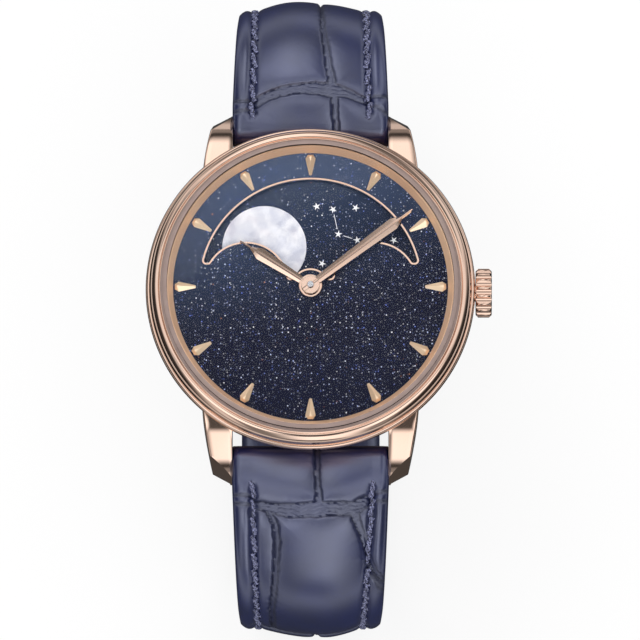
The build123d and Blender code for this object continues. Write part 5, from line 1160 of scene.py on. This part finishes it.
# Keepers: rounded leather loops with a pressed line along each edge
def keeper_loop(start):
    corner = 1.5
    right = 8.8 - corner
    top = -29.6 - corner
    bottom = -35.2 + corner
    profile = []
    for step in range(32):
        across = step / 8 - 1 if step <= 16 else 3 - step / 8
        lift = 0.42 * (1 - abs(across) ** 6) ** 0.5
        pressed = 0.09 * math.exp(-((abs(across) - 0.72) / 0.07) ** 2)
        profile.append((across * 1.98 + 2.0, lift - pressed if step <= 16 else -lift))
    points = []
    for centre, turn in (
        ((right, top), 0), ((-right, top), 90), ((-right, bottom), 180), ((right, bottom), 270)
    ):
        for step in range(9):
            for along, lift in profile:
                x, z = around(centre, corner + lift, math.radians(turn + 90 * step / 8))
                points.append((x, start + along, z))
    return mesh_of(points, ring_faces(36, len(profile)), 50)


for keeper, start, body in (("fixed_keeper", 7.6, "strap_12"), ("sliding_keeper", 12.6, "sliding_keeper")):
    finish_piece(keeper + "_leather", keeper_loop(start), lining_leather, body, keeper)


# Camera and studio: a long lens on the six o'clock side, tilted from straight above
def aim_camera():
    tilt = math.radians(13)
    distance = 1.6
    seen_width = 0.0739
    target = Vector((1.097, -3.722, 6.49)) * MM
    lens_data = bpy.data.cameras.new("photo_camera")
    lens_data.sensor_width = 36.0
    lens_data.lens = lens_data.sensor_width * distance / seen_width
    lens_data.clip_start = 0.05
    lens_data.clip_end = 20.0
    camera = add_object("photo_camera", lens_data)
    camera.location = target + distance * Vector((0, -math.sin(tilt), math.cos(tilt)))
    camera.rotation_euler = (tilt, 0, 0)
    scene.camera = camera


# A white floor, evenly white to the camera; what polished parts mirror of it is painted shade, darker near
# the watch, and painted dark reflections, darkest beside it
def white_floor():
    made, tree, shader, point = new_material("White floor", {"Base Color": grey(0.9), "Roughness": 0.8})
    path = tree.nodes.new("ShaderNodeLightPath").outputs
    parts = axes(tree, point)
    flat = place(tree, "ShaderNodeCombineXYZ", {"X": parts[0], "Y": parts[1]})
    far = place(tree, "ShaderNodeVectorMath", {0: flat.outputs[0]}, operation="LENGTH").outputs["Value"]
    sideways = reckon(tree, "DIVIDE", reckon(tree, "ABSOLUTE", parts[0]), far)
    # Painted dark reflections beside the watch and painted shade near it, seen only in polished parts
    painted_dark_beside = times(
        tree, span(tree, sideways, 0.72, 0.9), span(tree, far, 0.024, 0.036),
        span(tree, far, 0.07, 0.14, 1.0, 0.0),
    )
    mirrored = mixed(tree, span(tree, far, 0.07, 0.2), grey(0.07), grey(0.65))
    mirrored = mixed(tree, painted_dark_beside, mirrored, grey(0.01))
    tone = mixed(tree, path["Is Glossy Ray"], grey(1.0), mirrored)
    seen = largest(tree, path["Is Camera Ray"], path["Is Glossy Ray"], path["Is Transmission Ray"])
    share = largest(tree, times(tree, seen, 0.8), path["Is Glossy Ray"])
    glow = place(tree, "ShaderNodeEmission", {"Color": tone, "Strength": 1.0})
    mix_out(tree, shader, share, glow)
    corners = [(x, y, -38) for x, y in ((-900, -900), (900, -900), (900, 900), (-900, 900))]
    floor = add_object("floor", mesh_of(corners, [(0, 1, 2, 3)]))
    floor.data.materials.append(made)


def soft_lamp(name, spot, size, power):
    data = bpy.data.lights.new(name, "AREA")
    data.shape = "RECTANGLE"
    data.size, data.size_y = size
    data.energy = power
    lamp = add_object(name, data)
    lamp.location = spot
    lamp.rotation_euler = (-Vector(spot)).to_track_quat("-Z", "Y").to_euler()
    lamp.visible_glossy = False


# What polished parts mirror: bright strips and boxes by direction, dark at both sides
def studio_world():
    world = bpy.data.worlds.new("Studio")
    scene.world = world
    world.use_nodes = True
    tree = world.node_tree
    tree.nodes.clear()
    direction = tree.nodes.new("ShaderNodeTexCoord").outputs["Generated"]
    path = tree.nodes.new("ShaderNodeLightPath").outputs
    x, y, z = axes(tree, direction)
    sideways = reckon(tree, "ABSOLUTE", x)

    def box_light(facing, inner, outer, strength):
        aim = tuple(Vector(facing).normalized())
        near = place(tree, "ShaderNodeVectorMath", {0: direction, 1: aim}, operation="DOT_PRODUCT")
        low = math.cos(math.radians(outer))
        high = math.cos(math.radians(inner))
        return span(tree, near.outputs["Value"], low, high, 0.0, strength)

    def strip(rise, full, fade, gone, strength):
        return times(tree, span(tree, y, rise, full, 0.0, strength), span(tree, y, fade, gone, 1.0, 0.0))

    # The share of a strip that is left away from its own middle
    def kept(offset, low, high, least):
        shy = reckon(tree, "ABSOLUTE", reckon(tree, "ADD", x, offset))
        return span(tree, shy, low, high, 1.0, least)

    back_light = times(
        tree, span(tree, y, 0.36, 0.50, 0.0, 1.35), span(tree, z, 0.16, 0.46), kept(0.1, 0.04, 0.36, 0.14)
    )
    front_light = times(tree, strip(-0.99, -0.93, -0.52, -0.36, 1.35), kept(-0.1, 0.06, 0.4, 0.16))
    overhead = times(tree, strip(-0.06, 0.05, 0.28, 0.38, 0.95), span(tree, sideways, 0.58, 0.84, 1.0, 0.0))
    boxes = (
        box_light((0.43, -0.34, 0.84), 10, 22, 1.5), box_light((-0.33, -0.27, 0.9), 8, 18, 1.5),
        box_light((-0.35, 0.69, 0.63), 5, 12, 1.0),
    )
    sides = times(tree, span(tree, sideways, 0.36, 0.58, 0.08, 0.8), span(tree, z, 0.0, 0.32, 0.2, 1.0))
    low_band = span(tree, z, 0.05, 0.16, 0.25, 0.0)
    dark = largest(
        tree, box_light((0.95, -0.3, 0.2), 25, 50, 0.96), box_light((-0.98, 0, 0.2), 25, 50, 0.96)
    )
    glow = largest(tree, back_light, front_light, overhead, *boxes, sides, low_band)
    shine = times(tree, glow, reckon(tree, "SUBTRACT", 1.0, dark))
    level = place(tree, "ShaderNodeMix", {0: path["Is Glossy Ray"], 2: 1.0, 3: shine})
    level = place(tree, "ShaderNodeMix", {0: path["Is Camera Ray"], 2: level.outputs[0], 3: 1.0})
    back = place(tree, "ShaderNodeBackground", {"Color": grey(1.0), "Strength": level.outputs[0]})
    feed(tree, tree.nodes.new("ShaderNodeOutputWorld"), {"Surface": back.outputs[0]})


aim_camera()
white_floor()
studio_world()
soft_lamp("overhead_softbox", (-0.12, 0.22, 0.42), (0.30, 0.24), 0.55)
soft_lamp("front_softbox", (0.1, -0.34, 0.36), (0.3, 0.2), 0.3)
